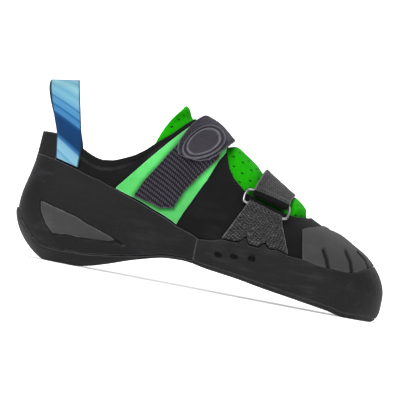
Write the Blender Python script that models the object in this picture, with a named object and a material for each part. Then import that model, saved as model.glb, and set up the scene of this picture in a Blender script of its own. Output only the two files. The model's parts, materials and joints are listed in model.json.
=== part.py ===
"""Climbing shoe for the right foot, with two hook-and-loop straps.

The toe points along +X, the outer side of the foot faces -Y and the floor is at z = 0. One function,
surface(), gives the last with its upper pulled over it. Every piece is cut from that form at its own
offsets, so the pieces follow each other when a size changes. Tables hold shares of the named sizes:
"along" is a share of LENGTH from the heel, "up" a share of INSTEP_HEIGHT above the last's underside.
"""
import math

import bmesh
import bpy
import numpy as np

# Driving dimensions, in metres
LENGTH = 0.244              # last with its upper, heel to toe
BALL_WIDTH = 0.088          # the same across the ball
INSTEP_HEIGHT = 0.090       # top of the instep above the underside of the last
ARCH_RISE = 0.0168          # underside of the sole above the floor, at the arch
SOLE_THICKNESS = 0.0036
UPPER_WALL = 0.0016
INSOLE_THICKNESS = 0.0015
RUBBER_WALL = 0.0015        # rand, heel cup and toe patch
HEEL_BAND_WALL = 0.0027
TONGUE_THICKNESS = 0.0024
TONGUE_PUFF = 0.0030        # how far the tongue swells up into the throat
TONGUE_EASE = 0.0005        # more room between the tongue and the upper
HEEL_LEAN = 0.0046          # how far the heel leans in below the collar
WING_THICKNESS = 0.0008
PAD_THICKNESS = 0.0010
STRAP_THICKNESS = 0.0018
BADGE_THICKNESS = 0.0016
BADGE_LENGTH = 0.0262
BADGE_WIDTH = 0.0184
WEB_THICKNESS = 0.0011      # front strap, one layer
TAB_LAYER = 0.0009          # ring tab, one layer
RING_WIRE = 0.0017
HEEL_TAB_THICKNESS = 0.0009
LOOP_THICKNESS = 0.0011
LOOP_HEIGHT = 0.0367        # pull loop above the collar
VENT_LENGTH = 0.0054
VENT_WIDTH = 0.0034
SLIT_WIDTH = 0.0018
SKIN_EASE = 0.0002          # added under the wing and the toe patch
WINDOW_EASE = 0.0002
BADGE_EASE = 0.0003
STRAP_EASE = 0.0001
LOOP_EASE = 0.0003
LOOP_SWAY = 0.0030          # how far the loop's inner leg leans back
RING_PAST = 0.0019          # half of what the ring's round ends add to its bars
CLEARANCE = 0.0003          # between pieces that touch
MERGE = 0.00002             # points closer than this are one
THIN = 0.000001             # edges shorter than this are taken out
SMALL_TURN = 0.002          # step of place and turn for a normal
SMALL_STEP = 0.0005         # step in metres for the ridge's slope

# Places where the form turns: centres of the heel's and the toe's round
HEEL_CENTRE = 0.127
TOE_CENTRE = 0.836
TURN_BLEND = 0.045
SEAM_ALONG = 0.484          # heel rubber meets the front rubber
MARGIN = (-0.60, -0.40, -0.19)   # turns of the upper's margin, from its inner edge outwards
UNDERFOOT = (-1.0, -0.68)        # turns inside the margin, from the middle outwards
NEAR_RIDGE = 0.985               # turn up to which a normal is measured
LEAN_FROM = 0.33                 # of INSTEP_HEIGHT, where the heel starts to lean in
LEAN_REACH = 0.36
SOLE_TUCK = 0.010                # of INSTEP_HEIGHT, lowest inner edge of the sole pieces
SOLE_SIDE = (0.0, 0.25, 0.5, 0.72, 0.88)   # rows of the sole's side, from its line down


def columns(names, *rows):
    """A table as one array for each named column."""
    return dict(zip(names, np.array(rows, dtype=float).T))


# Plan of the last: half widths from the heel's axis as shares of BALL_WIDTH
PLAN = columns(
    ("along", "outer", "inner"),
    (0.020, 0.200, 0.195),
    (0.057, 0.292, 0.286),
    (0.123, 0.345, 0.335),
    (0.246, 0.358, 0.340),
    (0.390, 0.375, 0.350),
    (0.533, 0.440, 0.410),
    (0.656, 0.487, 0.478),
    (0.770, 0.483, 0.511),
    (0.852, 0.432, 0.498),
    (0.926, 0.300, 0.440),
    (0.975, 0.120, 0.322),
)
TOE_TIP_ACROSS = 0.110      # of BALL_WIDTH, to the inner side

# Underside of the sole, as a share of ARCH_RISE
UNDERSIDE = columns(
    ("along", "rise"),
    (0.170, 0.00),
    (0.213, 0.11),
    (0.254, 0.29),
    (0.336, 0.70),
    (0.418, 0.98),
    (0.455, 1.00),
    (0.525, 0.85),
    (0.607, 0.70),
    (0.664, 0.56),
    (0.787, 0.30),
    (0.860, 0.14),
    (0.910, 0.00),
)

# Sections by the place of the outline: height of the widest point, roundness above and below it,
# the same below in the outer rubber, and the share of HEEL_LEAN
SECTIONS = columns(
    ("along", "widest", "above", "below", "rubber", "lean"),
    (0.000, 0.300, 2.00, 1.80, 1.70, 1.00),
    (0.060, 0.275, 2.00, 2.20, 2.10, 1.00),
    (0.130, 0.245, 2.00, 3.00, 3.40, 1.00),
    (0.250, 0.220, 2.00, 2.80, 4.50, 0.80),
    (0.410, 0.200, 2.00, 2.50, 4.50, 0.15),
    (0.570, 0.190, 1.95, 2.80, 7.00, 0.00),
    (0.720, 0.180, 1.90, 3.20, 8.00, 0.00),
    (0.840, 0.165, 1.90, 3.20, 8.00, 0.00),
    (0.940, 0.150, 1.85, 3.00, 7.00, 0.00),
    (1.000, 0.145, 1.80, 3.00, 6.00, 0.00),
)

# Ridge of the last: its height, and its shift to the inner side as a share of BALL_WIDTH. Behind
# the instep it is the ankle that the collar is cut from.
RIDGE = columns(
    ("along", "up", "across"),
    (0.127, 1.950, 0.000),
    (0.246, 1.720, 0.000),
    (0.310, 1.440, 0.005),
    (0.350, 1.220, 0.010),
    (0.383, 1.084, 0.015),
    (0.420, 1.012, 0.022),
    (0.484, 0.946, 0.035),
    (0.525, 0.880, 0.048),
    (0.566, 0.846, 0.060),
    (0.615, 0.785, 0.075),
    (0.676, 0.711, 0.090),
    (0.717, 0.659, 0.097),
    (0.775, 0.568, 0.105),
    (0.807, 0.540, 0.110),
    (0.836, 0.508, 0.110),
)

# Collar and throat: the upper's edge
COLLAR = columns(
    ("along", "up"),
    (0.000, 0.885),
    (0.048, 0.885),
    (0.090, 0.850),
    (0.129, 0.815),
    (0.158, 0.780),
    (0.194, 0.748),
    (0.225, 0.740),
    (0.251, 0.748),
    (0.277, 0.760),
    (0.302, 0.785),
    (0.321, 0.825),
    (0.334, 0.840),
    (0.367, 0.892),
    (0.393, 0.950),
    (0.417, 0.998),
    (0.460, 0.955),
    (0.500, 0.905),
    (0.514, 0.872),
    (0.522, 0.800),
    (0.530, 0.730),
    (0.545, 0.668),
    (0.565, 0.628),
    (0.590, 0.582),
    (0.640, 0.548),
    (0.700, 0.535),
    (0.735, 0.536),
    (0.756, 0.550),
    (0.776, 0.560),
)
THROAT_END = 0.776

# Top edge of the heel band, and of the sole's edge in front of it
SOLE_LINE = columns(
    ("along", "up"),
    (0.000, 0.300),
    (0.008, 0.238),
    (0.022, 0.176),
    (0.040, 0.118),
    (0.060, 0.084),
    (0.087, 0.066),
    (0.130, 0.058),
    (0.169, 0.062),
    (0.232, 0.042),
    (0.314, 0.006),
    (0.375, -0.003),
    (1.000, -0.003),
)

# Top edge of the heel cup. In its middle it runs along the wing's lower edge.
HEEL_CUP_TOP = columns(
    ("along", "up"),
    (0.000, 0.716),
    (0.065, 0.690),
    (0.127, 0.652),
    (0.193, 0.598),
    (0.241, 0.520),
    (0.307, 0.398),
    (0.363, 0.296),
    (0.421, 0.198),
    (0.460, 0.165),
    (0.484, 0.146),
)

# Top edge of the rand on the outer side, with its two peaks on the ring tab
RAND_TOP = columns(
    ("along", "up"),
    (0.484, 0.140),
    (0.518, 0.164),
    (0.548, 0.198),
    (0.592, 0.209),
    (0.612, 0.266),
    (0.622, 0.218),
    (0.649, 0.227),
    (0.663, 0.273),
    (0.676, 0.240),
    (0.700, 0.255),
    (0.729, 0.242),
    (0.772, 0.250),
    (0.804, 0.241),
    (0.840, 0.246),
    (0.880, 0.262),
    (0.930, 0.290),
    (0.965, 0.325),
    (1.000, 0.350),
)

# The same on the inner side, without peaks
RAND_TOP_INNER = columns(
    ("along", "up"),
    (0.484, 0.140),
    (0.548, 0.190),
    (0.650, 0.225),
    (0.729, 0.242),
    (0.840, 0.246),
    (0.880, 0.262),
    (0.930, 0.290),
    (0.965, 0.325),
    (1.000, 0.350),
)

# Back top edge of the toe patch, as far as it stays off the ridge
PATCH_START = 0.760
PATCH_TOP = columns(
    ("along", "up"),
    (0.760, 0.453),
    (0.776, 0.482),
    (0.807, 0.520),
)

# Slits of the toe patch, from its lower edge upwards
SLITS = (
    ((0.843, 0.235), (0.832, 0.305), (0.820, 0.354)),
    ((0.907, 0.262), (0.897, 0.346), (0.880, 0.402)),
    ((0.955, 0.300), (0.935, 0.385), (0.912, 0.427)),
)

# Vents of the rand
VENTS = ((0.548, 0.084), (0.590, 0.107), (0.637, 0.133))

# Heel window: lower and upper edge from the heel forwards
WINDOW_LOW = ((0.101, 0.162), (0.136, 0.173), (0.195, 0.166), (0.226, 0.146), (0.266, 0.108))
WINDOW_HIGH = ((0.054, 0.377), (0.111, 0.339), (0.158, 0.308), (0.205, 0.245), (0.250, 0.165), (0.276, 0.118))

# Wing on the outer quarter, and the hook pad on it
WING = columns(
    ("along", "low", "high"),
    (0.244, 0.520, 0.530),
    (0.307, 0.411, 0.690),
    (0.363, 0.308, 0.830),
    (0.421, 0.211, 0.962),
    (0.448, 0.379, 0.930),
    (0.480, 0.570, 0.888),
    (0.500, 0.730, 0.862),
    (0.514, 0.805, 0.840),
)
HOOK_PAD = columns(
    ("along", "low", "high"),
    (0.305, 0.485, 0.505),
    (0.314, 0.424, 0.545),
    (0.340, 0.382, 0.635),
    (0.371, 0.345, 0.758),
    (0.405, 0.335, 0.868),
    (0.426, 0.456, 0.862),
    (0.453, 0.558, 0.838),
    (0.497, 0.738, 0.775),
)

# Main strap across the instep: "down" runs from its outer tip, 1, over the ridge, 0, to its sewn end
MAIN_STRAP = columns(
    ("down", "back", "back_up", "front", "front_up"),
    (1.00, 0.403, 0.698, 0.452, 0.676),
    (0.93, 0.391, 0.716, 0.474, 0.700),
    (0.84, 0.385, 0.755, 0.489, 0.744),
    (0.66, 0.385, 0.812, 0.504, 0.800),
    (0.38, 0.402, 0.905, 0.519, 0.855),
    (0.15, 0.426, 0.975, 0.526, 0.874),
    (0.00, 0.443, 9.000, 0.528, 9.000),
)
MAIN_STRAP_INNER = columns(
    ("down", "back", "back_up", "front", "front_up"),
    (0.00, 0.443, 9.000, 0.528, 9.000),
    (0.15, 0.426, 0.975, 0.526, 0.874),
    (0.38, 0.402, 0.905, 0.519, 0.855),
    (0.66, 0.385, 0.812, 0.504, 0.800),
    (1.00, 0.366, 0.700, 0.487, 0.685),
    (1.40, 0.346, 0.570, 0.467, 0.550),
)

# Front strap in the same way. Its outer end is the fold round the ring's upper bar.
FRONT_STRAP = columns(
    ("down", "back", "back_up", "front", "front_up"),
    (1.15, 0.603, 0.555, 0.701, 0.528),
    (1.00, 0.606, 0.592, 0.704, 0.565),
    (0.50, 0.617, 0.695, 0.714, 0.640),
    (0.20, 0.625, 0.750, 0.717, 0.651),
    (0.00, 0.628, 9.000, 0.718, 9.000),
)
FRONT_STRAP_INNER = columns(
    ("down", "back", "back_up", "front", "front_up"),
    (0.00, 0.628, 9.000, 0.718, 9.000),
    (0.20, 0.625, 0.750, 0.717, 0.651),
    (0.50, 0.617, 0.695, 0.714, 0.640),
    (1.00, 0.606, 0.592, 0.704, 0.565),
    (1.60, 0.592, 0.460, 0.695, 0.430),
    (2.40, 0.578, 0.290, 0.688, 0.285),
)

# Rows of the straps, in the tables' downs
MAIN_STRAP_DOWNS = (
    1.0, 0.93, 0.84, 0.7, 0.55, 0.4, 0.27, 0.14, 0.0, -0.14, -0.27, -0.4, -0.58, -0.8, -1.1, -1.4,
)
FRONT_STRAP_DOWNS = (-2.4, -2.0, -1.6, -1.25, -0.9, -0.6, -0.4, -0.22, -0.08, 0.08, 0.22, 0.4, 0.6, 0.82)
FRONT_STRAP_BACK = (0.60, 0.4, 0.22, 0.08, -0.08, -0.22, -0.4, -0.6)
FRONT_STRAP_FALL = 0.103    # how far it drops from the down of 0.5 to the bar, of INSTEP_HEIGHT
STRAP_CLIMB = (-0.7, 0.1)   # downs between which the main strap climbs onto the pad

# Tongue: its points across and along, its back edge with the sweep of its corners, and its front edge
TONGUE_COLUMNS = 9
TONGUE_ROWS = (
    0.0, 0.022, 0.05, 0.10, 0.20, 0.33, 0.377, 0.396, 0.42, 0.46,
    0.52, 0.56, 0.60, 0.69, 0.79, 0.84, 0.875, 0.905, 0.93, 1.0,
)
TONGUE_LIFT = columns(
    ("along", "up"),  # how far it swells, of TONGUE_PUFF
    (0.380, 1.20),
    (0.398, 1.80),
    (0.415, 0.20),
    (0.425, 0.00),
    (0.536, 0.00),
    (0.547, 1.40),
    (0.558, 1.20),
    (0.575, 1.00),
    (0.603, 0.90),
    (0.622, 0.50),
    (0.640, 0.20),
    (0.712, 0.20),
    (0.733, 1.70),
    (0.748, 1.80),
    (0.758, 1.20),
    (0.768, 0.10),
    (0.780, 0.00),
)
TONGUE_BACK = 0.383
TONGUE_SWEEP = 0.075
TONGUE_FRONT = 0.800
TONGUE_UNDER = 0.10         # of INSTEP_HEIGHT, how far it reaches under the throat's edges
# How far above the throat's edges it starts to swell, and over what height it does, at its back and front
TONGUE_GAP = (0.07, 0.035)
TONGUE_RISE = (0.11, 0.06)
TONGUE_CORNER = 2.6         # power that rounds its back corners

# Badge: its middle, the tilt of its long axis in degrees, and its half section from the middle outwards
BADGE_CENTRE = (0.450, 0.812)
BADGE_TILT = 36.0
BADGE_SIDES = 18
BADGE_PROFILE = columns(
    ("reach", "lift"),
    (0.00, 0.00),
    (0.35, 0.00),
    (0.70, 0.00),
    (1.00, 0.00),
    (1.00, 0.60),
    (0.92, 1.00),
    (0.80, 1.00),
    (0.74, 0.68),
    (0.66, 0.68),
    (0.60, 1.00),
    (0.00, 1.05),
)

# Ring: its two bars, in the strap's fold and in the tab's, and the tab's foot at the rand
RING_TOP = ((0.606, 0.592), (0.704, 0.565))
TAB_TOP = ((0.604, 0.492), (0.694, 0.468))
TAB_FOOT = (0.549, 0.570, 0.592, 0.602, 0.612, 0.622, 0.649, 0.663, 0.676, 0.700, 0.729)

HEEL_TAB_END = 0.060
LOOP_FOOT = (0.066, 0.131)                  # its two edges above the heel cup
LOOP_TOP = ((0.017, -0.079), (0.092, 0.0))  # along, and how much lower that edge is, of LOOP_HEIGHT
TAB_MARGIN = 0.004          # of INSTEP_HEIGHT, between the heel tab and its neighbours
LOOP_MARGIN = 0.010         # of INSTEP_HEIGHT, between the pull loop and its neighbours
LOOP_ARCH = {"rise": 0.85, "out": 0.75, "lean": 0.85}   # powers that shape the loop's arch
RING_END_ANGLES = (60, 25, -25, -60)
TAB_LOW = 0.24              # height of the ring tab's foot, about, which sets its length
TAB_ROWS = (0.0, 0.3, 0.6, 0.84)
TAB_BACK = (0.80, 0.55, 0.3, 0.02)

CLIMB_ROWS = 8              # of the upper, from its widest line to its edge
TUCK = 0.016                # of INSTEP_HEIGHT, where the rubber's inner side starts
WINDOW_GRID = (9, 5)
VENT_SIDES = 10
RING_SIDES = 6

# Stations of the sections, at the outline's places from heel to toe
STATIONS = (
    0.000, 0.014, 0.042, 0.078, 0.115, 0.155, 0.195, 0.235, 0.277, 0.310, 0.345, 0.375, 0.398, 0.421, 0.455,
    0.484, 0.500, 0.514, 0.522, 0.530, 0.545, 0.568, 0.592, 0.622, 0.649, 0.676, 0.706, 0.735, 0.760,
    0.776, 0.807, 0.840, 0.875, 0.908, 0.940, 0.967, 0.988, 1.000,
)

COLOURS = {
    "upper": (0.012, 0.012, 0.014, 0.90),
    "insole": (0.030, 0.030, 0.032, 0.90),
    "outsole": (0.016, 0.016, 0.017, 0.55),
    "heel_band": (0.016, 0.016, 0.017, 0.55),
    "heel_cup": (0.018, 0.018, 0.019, 0.60),
    "heel_window": (0.080, 0.080, 0.082, 0.75),
    "rand": (0.018, 0.018, 0.019, 0.60),
    "toe_patch": (0.075, 0.075, 0.078, 0.70),
    "tongue": (0.040, 0.520, 0.010, 0.75),
    "wing": (0.160, 0.870, 0.230, 0.90),
    "hook_pad": (0.070, 0.062, 0.085, 0.95),
    "main_strap": (0.075, 0.068, 0.090, 0.85),
    "badge": (0.060, 0.056, 0.070, 0.60),
    "ring": (0.600, 0.600, 0.620, 0.25),
    "fabric": (0.085, 0.085, 0.087, 0.95),
    "pull_loop": (0.120, 0.430, 0.700, 0.60),
}


def smooth(at, knots, values):
    """Monotone cubic through a table's column, level past both ends."""
    gap = np.diff(knots)
    slope = np.diff(values) / gap
    product = slope[:-1] * slope[1:]
    total = np.where(product > 0, slope[:-1] + slope[1:], 1.0)
    inner = np.where(product > 0, 2 * product / total, 0.0)
    tangent = np.concatenate([[0.0], inner, [0.0]])
    index = np.clip(np.searchsorted(knots, at) - 1, 0, len(gap) - 1)
    t = np.clip((at - knots[index]) / gap[index], 0, 1)
    start = values[index] * (1 + 2 * t) + tangent[index] * gap[index] * t
    end = values[index + 1] * (3 - 2 * t) - tangent[index + 1] * gap[index] * (1 - t)
    return start * (1 - t) ** 2 + end * t**2


def step(value):
    """Smooth step from 0 to 1."""
    t = np.clip(value, 0, 1)
    return t * t * (3 - 2 * t)


def ring_spline(points):
    """Closed curve with even curvature through the points: its knots and second derivatives."""
    count = len(points)
    gaps = np.linalg.norm(np.roll(points, -1, axis=0) - points, axis=1)
    matrix = np.zeros((count, count))
    change = np.zeros_like(points)
    for i in range(count):
        after = (i + 1) % count
        matrix[i, i - 1] = gaps[i - 1]
        matrix[i, i] = 2 * (gaps[i - 1] + gaps[i])
        matrix[i, after] = gaps[i]
        rise = (points[after] - points[i]) / gaps[i] - (points[i] - points[i - 1]) / gaps[i - 1]
        change[i] = 6 * rise
    return np.concatenate([[0.0], np.cumsum(gaps)]), np.linalg.solve(matrix, change)


def plan_points():
    """The plan's points from the heel round the outer side to the toe and back by the inner side."""
    along = PLAN["along"] * LENGTH
    outer = np.stack([along, -PLAN["outer"] * BALL_WIDTH], axis=1)
    inner = np.stack([along, PLAN["inner"] * BALL_WIDTH], axis=1)
    tip = [[LENGTH, TOE_TIP_ACROSS * BALL_WIDTH]]
    return np.concatenate([[[0.0, 0.0]], outer, tip, inner[::-1]])


PLAN_POINTS = plan_points()
PLAN_KNOTS, PLAN_BENDS = ring_spline(PLAN_POINTS)
TIP_KNOT = PLAN_KNOTS[len(PLAN["along"]) + 1]


def outline(place):
    """Plan of the last. place runs from the heel, 0, to the toe, -1 on the outer and 1 on the inner side."""
    whole = PLAN_KNOTS[-1]
    place = (place + 1) % 2 - 1
    at = np.where(place < 0, -place * TIP_KNOT, whole - place * (whole - TIP_KNOT)) % whole
    index = np.clip(np.searchsorted(PLAN_KNOTS, at, side="right") - 1, 0, len(PLAN_POINTS) - 1)
    after = (index + 1) % len(PLAN_POINTS)
    gap = (PLAN_KNOTS[index + 1] - PLAN_KNOTS[index])[..., None]
    t = ((at - PLAN_KNOTS[index])[..., None]) / gap
    bend = (t**3 - t) * PLAN_BENDS[after] + ((1 - t) ** 3 - (1 - t)) * PLAN_BENDS[index]
    return (1 - t) * PLAN_POINTS[index] + t * PLAN_POINTS[after] + bend * gap**2 / 6


PLACES = np.linspace(0, 1, 2001)
OUTER_ALONG = np.maximum.accumulate(outline(-PLACES)[:, 0]) / LENGTH
INNER_ALONG = np.maximum.accumulate(outline(PLACES)[:, 0]) / LENGTH


def place_at(along, side):
    """Place on the outline where it is this far along, on the outer (-1) or the inner (1) side."""
    reach = OUTER_ALONG if side < 0 else INNER_ALONG
    return side * np.interp(along, reach, PLACES)


def underside(x):
    """Height of the sole's underside above the floor."""
    return ARCH_RISE * smooth(x / LENGTH, UNDERSIDE["along"], UNDERSIDE["rise"])


def base(x):
    """Height of the last's underside above the floor."""
    return underside(x) + SOLE_THICKNESS + CLEARANCE


def spine(x):
    """Where the section that reaches the outline at x has its centre line."""
    x = np.asarray(x, dtype=float)
    low = HEEL_CENTRE * LENGTH
    high = TOE_CENTRE * LENGTH
    blend = TURN_BLEND * LENGTH
    near_heel = low + (x - low + blend) ** 2 / (4 * blend)
    eased = np.where(x < low - blend, low, np.where(x < low + blend, near_heel, x))
    near_toe = high - (high + blend - x) ** 2 / (4 * blend)
    return np.where(x > high + blend, high, np.where(x > high - blend, near_toe, eased))


def section_values(place):
    """Centre, outline point and section values at a place on the outline."""
    point = outline(place)
    along = point[..., 0] / LENGTH
    centre_x = spine(point[..., 0])
    values = {name: smooth(along, SECTIONS["along"], SECTIONS[name]) for name in SECTIONS if name != "along"}
    values["point"] = point
    values["centre_x"] = centre_x
    values["centre_y"] = BALL_WIDTH * smooth(centre_x / LENGTH, RIDGE["along"], RIDGE["across"])
    values["top"] = INSTEP_HEIGHT * smooth(centre_x / LENGTH, RIDGE["along"], RIDGE["up"])
    values["widest"] = values["widest"] * INSTEP_HEIGHT
    return values


def surface(place, turn, rubber=False):
    """Point of the form. turn runs from -1 under the foot by 0 at the widest to 1 on the ridge.

    The rubber's form goes down to the sole's underside and is squarer there.
    """
    place, turn = np.broadcast_arrays(np.asarray(place, dtype=float), np.asarray(turn, dtype=float))
    v = section_values(place)
    angle = np.abs(turn) * math.pi / 2
    cosine = np.maximum(np.cos(angle), 0)
    sine = np.sin(angle)
    below = v["rubber"] if rubber else v["below"]
    depth = v["widest"] + (SOLE_THICKNESS + CLEARANCE if rubber else 0)
    over = turn >= 0
    power = 2 / np.where(over, v["above"], below)
    reach = cosine**power
    height = np.where(over, v["top"] - v["widest"], -depth) * sine**power + v["widest"]
    offset = v["point"] - np.stack([v["centre_x"], v["centre_y"]], axis=-1)
    size = np.linalg.norm(offset, axis=-1)
    leaning = step((height / INSTEP_HEIGHT - LEAN_FROM) / LEAN_REACH)
    reach = reach * (1 - HEEL_LEAN * v["lean"] * leaning / size)
    x = v["centre_x"] + offset[..., 0] * reach
    y = v["centre_y"] + offset[..., 1] * reach
    return np.stack([x, y, base(x) + height], axis=-1)


def unit(vectors):
    """Vectors of length 1."""
    return vectors / np.maximum(np.linalg.norm(vectors, axis=-1, keepdims=True), 1e-12)


def ridge_normal(place):
    """Normal of the form on its ridge, square to the ridge as seen from the side."""
    x = spine(outline(place)[..., 0])
    near = SMALL_STEP

    def height(at):
        """Height of the ridge above the floor."""
        return base(at) + INSTEP_HEIGHT * smooth(at / LENGTH, RIDGE["along"], RIDGE["up"])

    slope = (height(x + near) - height(x - near)) / (2 * near)
    return unit(np.stack([-slope, np.zeros_like(slope), np.ones_like(slope)], axis=-1))


def normal(place, turn, rubber=False):
    """Normal of the form, pointing out."""
    place, turn = np.broadcast_arrays(np.asarray(place, dtype=float), np.asarray(turn, dtype=float))
    near = SMALL_TURN
    held = np.clip(turn, -NEAR_RIDGE, NEAR_RIDGE)
    across = surface(place + near, held, rubber) - surface(place - near, held, rubber)
    upward = surface(place, held + near, rubber) - surface(place, held - near, rubber)
    out = unit(np.cross(upward, across))
    middle = outline(place)
    v = section_values(place)
    away = surface(place, held, rubber) - np.stack(
        [v["centre_x"], v["centre_y"], base(middle[..., 0]) + v["widest"]], axis=-1
    )
    out = out * np.where(np.sum(out * away, axis=-1) < 0, -1.0, 1.0)[..., None]
    out = np.where((turn > 0.999)[..., None], ridge_normal(place), out)
    return np.where((turn < -0.999)[..., None], np.array([0.0, 0.0, -1.0]), out)


def skin(place, turn, offset, rubber=False):
    """Point at an offset from the form, outwards."""
    lift = np.asarray(offset, dtype=float)
    return surface(place, turn, rubber) + normal(place, turn, rubber) * lift[..., None]


def turn_at(place, up, rubber=False):
    """The turn at which a section is this high, as a share of INSTEP_HEIGHT."""
    v = section_values(place)
    height = np.asarray(up) * INSTEP_HEIGHT
    over = np.clip((height - v["widest"]) / (v["top"] - v["widest"]), 0, 1)
    below = v["rubber"] if rubber else v["below"]
    depth = v["widest"] + (SOLE_THICKNESS + CLEARANCE if rubber else 0)
    under = np.clip((v["widest"] - height) / depth, 0, 1)
    upper_turn = np.arcsin(over ** (v["above"] / 2)) / (math.pi / 2)
    lower_turn = -np.arcsin(under ** (below / 2)) / (math.pi / 2)
    return np.where(height >= v["widest"], upper_turn, lower_turn)


def locate(along, up, side):
    """Place and turn of a point that is seen from the side at (along, up)."""
    along = np.asarray(along, dtype=float)
    target = along.copy()
    for _ in range(12):
        place = place_at(target, side)
        turn = turn_at(place, up)
        target = np.clip(target + along - surface(place, turn)[..., 0] / LENGTH, 0.0, 1.0)
    return place, turn


def edge(table, along):
    """Height of an edge that a table gives, straight between its rows."""
    return np.interp(along, table["along"], table["up"])


def places_between(first, last, side, extra=()):
    """Places of the stations from first to last on one side, with extra stations put in."""
    kept = [a for a in STATIONS if first - 1e-9 <= a <= last + 1e-9]
    kept = [a for a in kept if all(abs(a - b) > 0.008 for b in extra)]
    kept = sorted(set(kept) | set(extra) | {first, last})
    return np.array([place_at(a, side) for a in kept]), np.array(kept)


def whole_round():
    """Places of the stations from the heel round the outer side to the toe and back, and how far along."""
    outer, outer_along = places_between(0.0, 1.0, -1)
    inner, inner_along = places_between(0.0, 1.0, 1)
    places = np.concatenate([outer, inner[-2:0:-1]])
    return places, np.concatenate([outer_along, inner_along[-2:0:-1]])


def round_heel(last, extra=()):
    """Places from the outer side at last round the heel to the inner side at last."""
    outer, outer_along = places_between(0.0, last, -1, extra)
    inner, inner_along = places_between(0.0, last, 1, extra)
    return np.concatenate([outer[::-1], inner[1:]]), np.concatenate([outer_along[::-1], inner_along[1:]])


def round_toe(first, extra=()):
    """Places from the outer side at first round the toe to the inner side at first."""
    outer, outer_along = places_between(first, 1.0, -1, extra)
    inner, inner_along = places_between(first, 1.0, 1)
    return np.concatenate([outer, inner[-2::-1]]), np.concatenate([outer_along, inner_along[-2::-1]])


def material(name):
    """Principled material of one piece."""
    made = bpy.data.materials.new(name)
    made.use_nodes = True
    *colour, roughness = COLOURS.get(name, COLOURS["fabric"])
    shader = made.node_tree.nodes["Principled BSDF"]
    shader.inputs["Base Color"].default_value = (*colour, 1.0)
    shader.inputs["Roughness"].default_value = roughness
    shader.inputs["Metallic"].default_value = 1.0 if name == "ring" else 0.0
    return made


def add_object(name, mesh_data, sharp_angle=45.0):
    """Object from a bmesh, closed, with its faces out and its round sides shaded smooth."""
    bmesh.ops.remove_doubles(mesh_data, verts=mesh_data.verts, dist=MERGE)
    bmesh.ops.dissolve_degenerate(mesh_data, edges=mesh_data.edges, dist=THIN)
    bmesh.ops.triangulate(mesh_data, faces=mesh_data.faces)
    bmesh.ops.recalc_face_normals(mesh_data, faces=mesh_data.faces)
    mesh = bpy.data.meshes.new(name)
    mesh_data.to_mesh(mesh)
    mesh_data.free()
    mesh.shade_smooth()
    mesh.set_sharp_from_angle(angle=math.radians(sharp_angle))
    made = bpy.data.objects.new(name, mesh)
    made.data.materials.append(material(name))
    bpy.context.collection.objects.link(made)
    return made


def loft(name, rings, around=False, seam=None):
    """Solid through rings of points, one ring for each section.

    A ring is a closed loop. Where seam is true its ends lie on the line that two mirrored sections
    share, and it stays open there. With around, the last ring joins the first.
    """
    count, size = rings.shape[:2]
    seam = np.zeros(count, dtype=bool) if seam is None else seam
    made = bmesh.new()
    verts = [[made.verts.new(point) for point in ring] for ring in rings]
    for i in range(count if around else count - 1):
        after = (i + 1) % count
        for j in range(size):
            if j == size - 1 and seam[i] and seam[after]:
                continue
            k = (j + 1) % size
            made.faces.new((verts[i][j], verts[after][j], verts[after][k], verts[i][k]))
    if not around:
        if seam[0] and seam[-1]:
            made.faces.new(verts[0] + verts[-1][::-1])
        else:
            made.faces.new(verts[0])
            made.faces.new(verts[-1])
    return add_object(name, made)


def slab(name, outer, inner):
    """Closed sheet between two grids of points."""
    rings = np.concatenate([outer, inner[:, ::-1]], axis=1)
    return loft(name, rings)


def cut_away(body, cutter):
    """Cut one object out of another and keep the result as its mesh."""
    modifier = body.modifiers.new("cut", "BOOLEAN")
    modifier.operation = "DIFFERENCE"
    modifier.object = cutter
    cutter.hide_render = True
    cutter.display_type = "WIRE"


def make_upper():
    """Hollow body of the shoe: open at the collar and throat, and under the foot inside its margin."""
    places, along = whole_round()
    turns, closed = upper_turns(places, along)
    across = places[:, None]
    outer = skin(across, turns, np.full(turns.shape, 0.0))
    inner = skin(across, turns, np.full(turns.shape, -UPPER_WALL))
    rings = np.concatenate([outer[:, ::-1], inner], axis=1)
    return loft("upper", rings, around=True, seam=closed)


def make_insole():
    """Board on the upper's margin, filling the opening between the margins down to the sole."""
    places, _ = whole_round()
    rim = MARGIN[1]
    low = UPPER_WALL + CLEARANCE
    top = low + INSOLE_THICKNESS
    plug = [(turn, 0.0) for turn in UNDERFOOT] + [(UNDERFOOT[-1], low), (rim, low)]
    profile = plug + [(rim, top)] + [(turn, top) for turn in UNDERFOOT[::-1]]
    rings = np.stack([skin(places, np.full(places.shape, turn), np.full(places.shape, -deep))
                      for turn, deep in profile], axis=1)
    return loft("insole", rings, around=True, seam=np.ones(len(places), dtype=bool))


def sole_rings(places, along, wall):
    """Sections of a sole piece: up the form, out to its edge, down its side and flat below."""
    line = edge(SOLE_LINE, along)
    tuck = np.maximum(line, SOLE_TUCK)
    rows = []
    for turn in (*UNDERFOOT, *MARGIN, 0.0):
        held = np.minimum(turn, turn_at(places, tuck))
        rows.append(skin(places, held, np.full(places.shape, CLEARANCE)))
    inside = len(rows)
    top_turn = turn_at(places, line, rubber=True)
    for share in SOLE_SIDE:
        turn = top_turn + (-1 - top_turn) * share
        rows.append(skin(places, turn, np.full(places.shape, CLEARANCE + wall), rubber=True))
    rings = np.stack(rows, axis=1)
    low = underside(rings[..., 0])
    rings[:, inside:, 2] = np.maximum(rings[:, inside:, 2], low[:, inside:])
    centre = rings[:, :1].copy()
    centre[..., 2] = underside(centre[..., 0])
    middle = (rings[:, -1:] + centre) / 2
    middle[..., 2] = underside(middle[..., 0])
    return np.concatenate([rings, middle, centre], axis=1)


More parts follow.
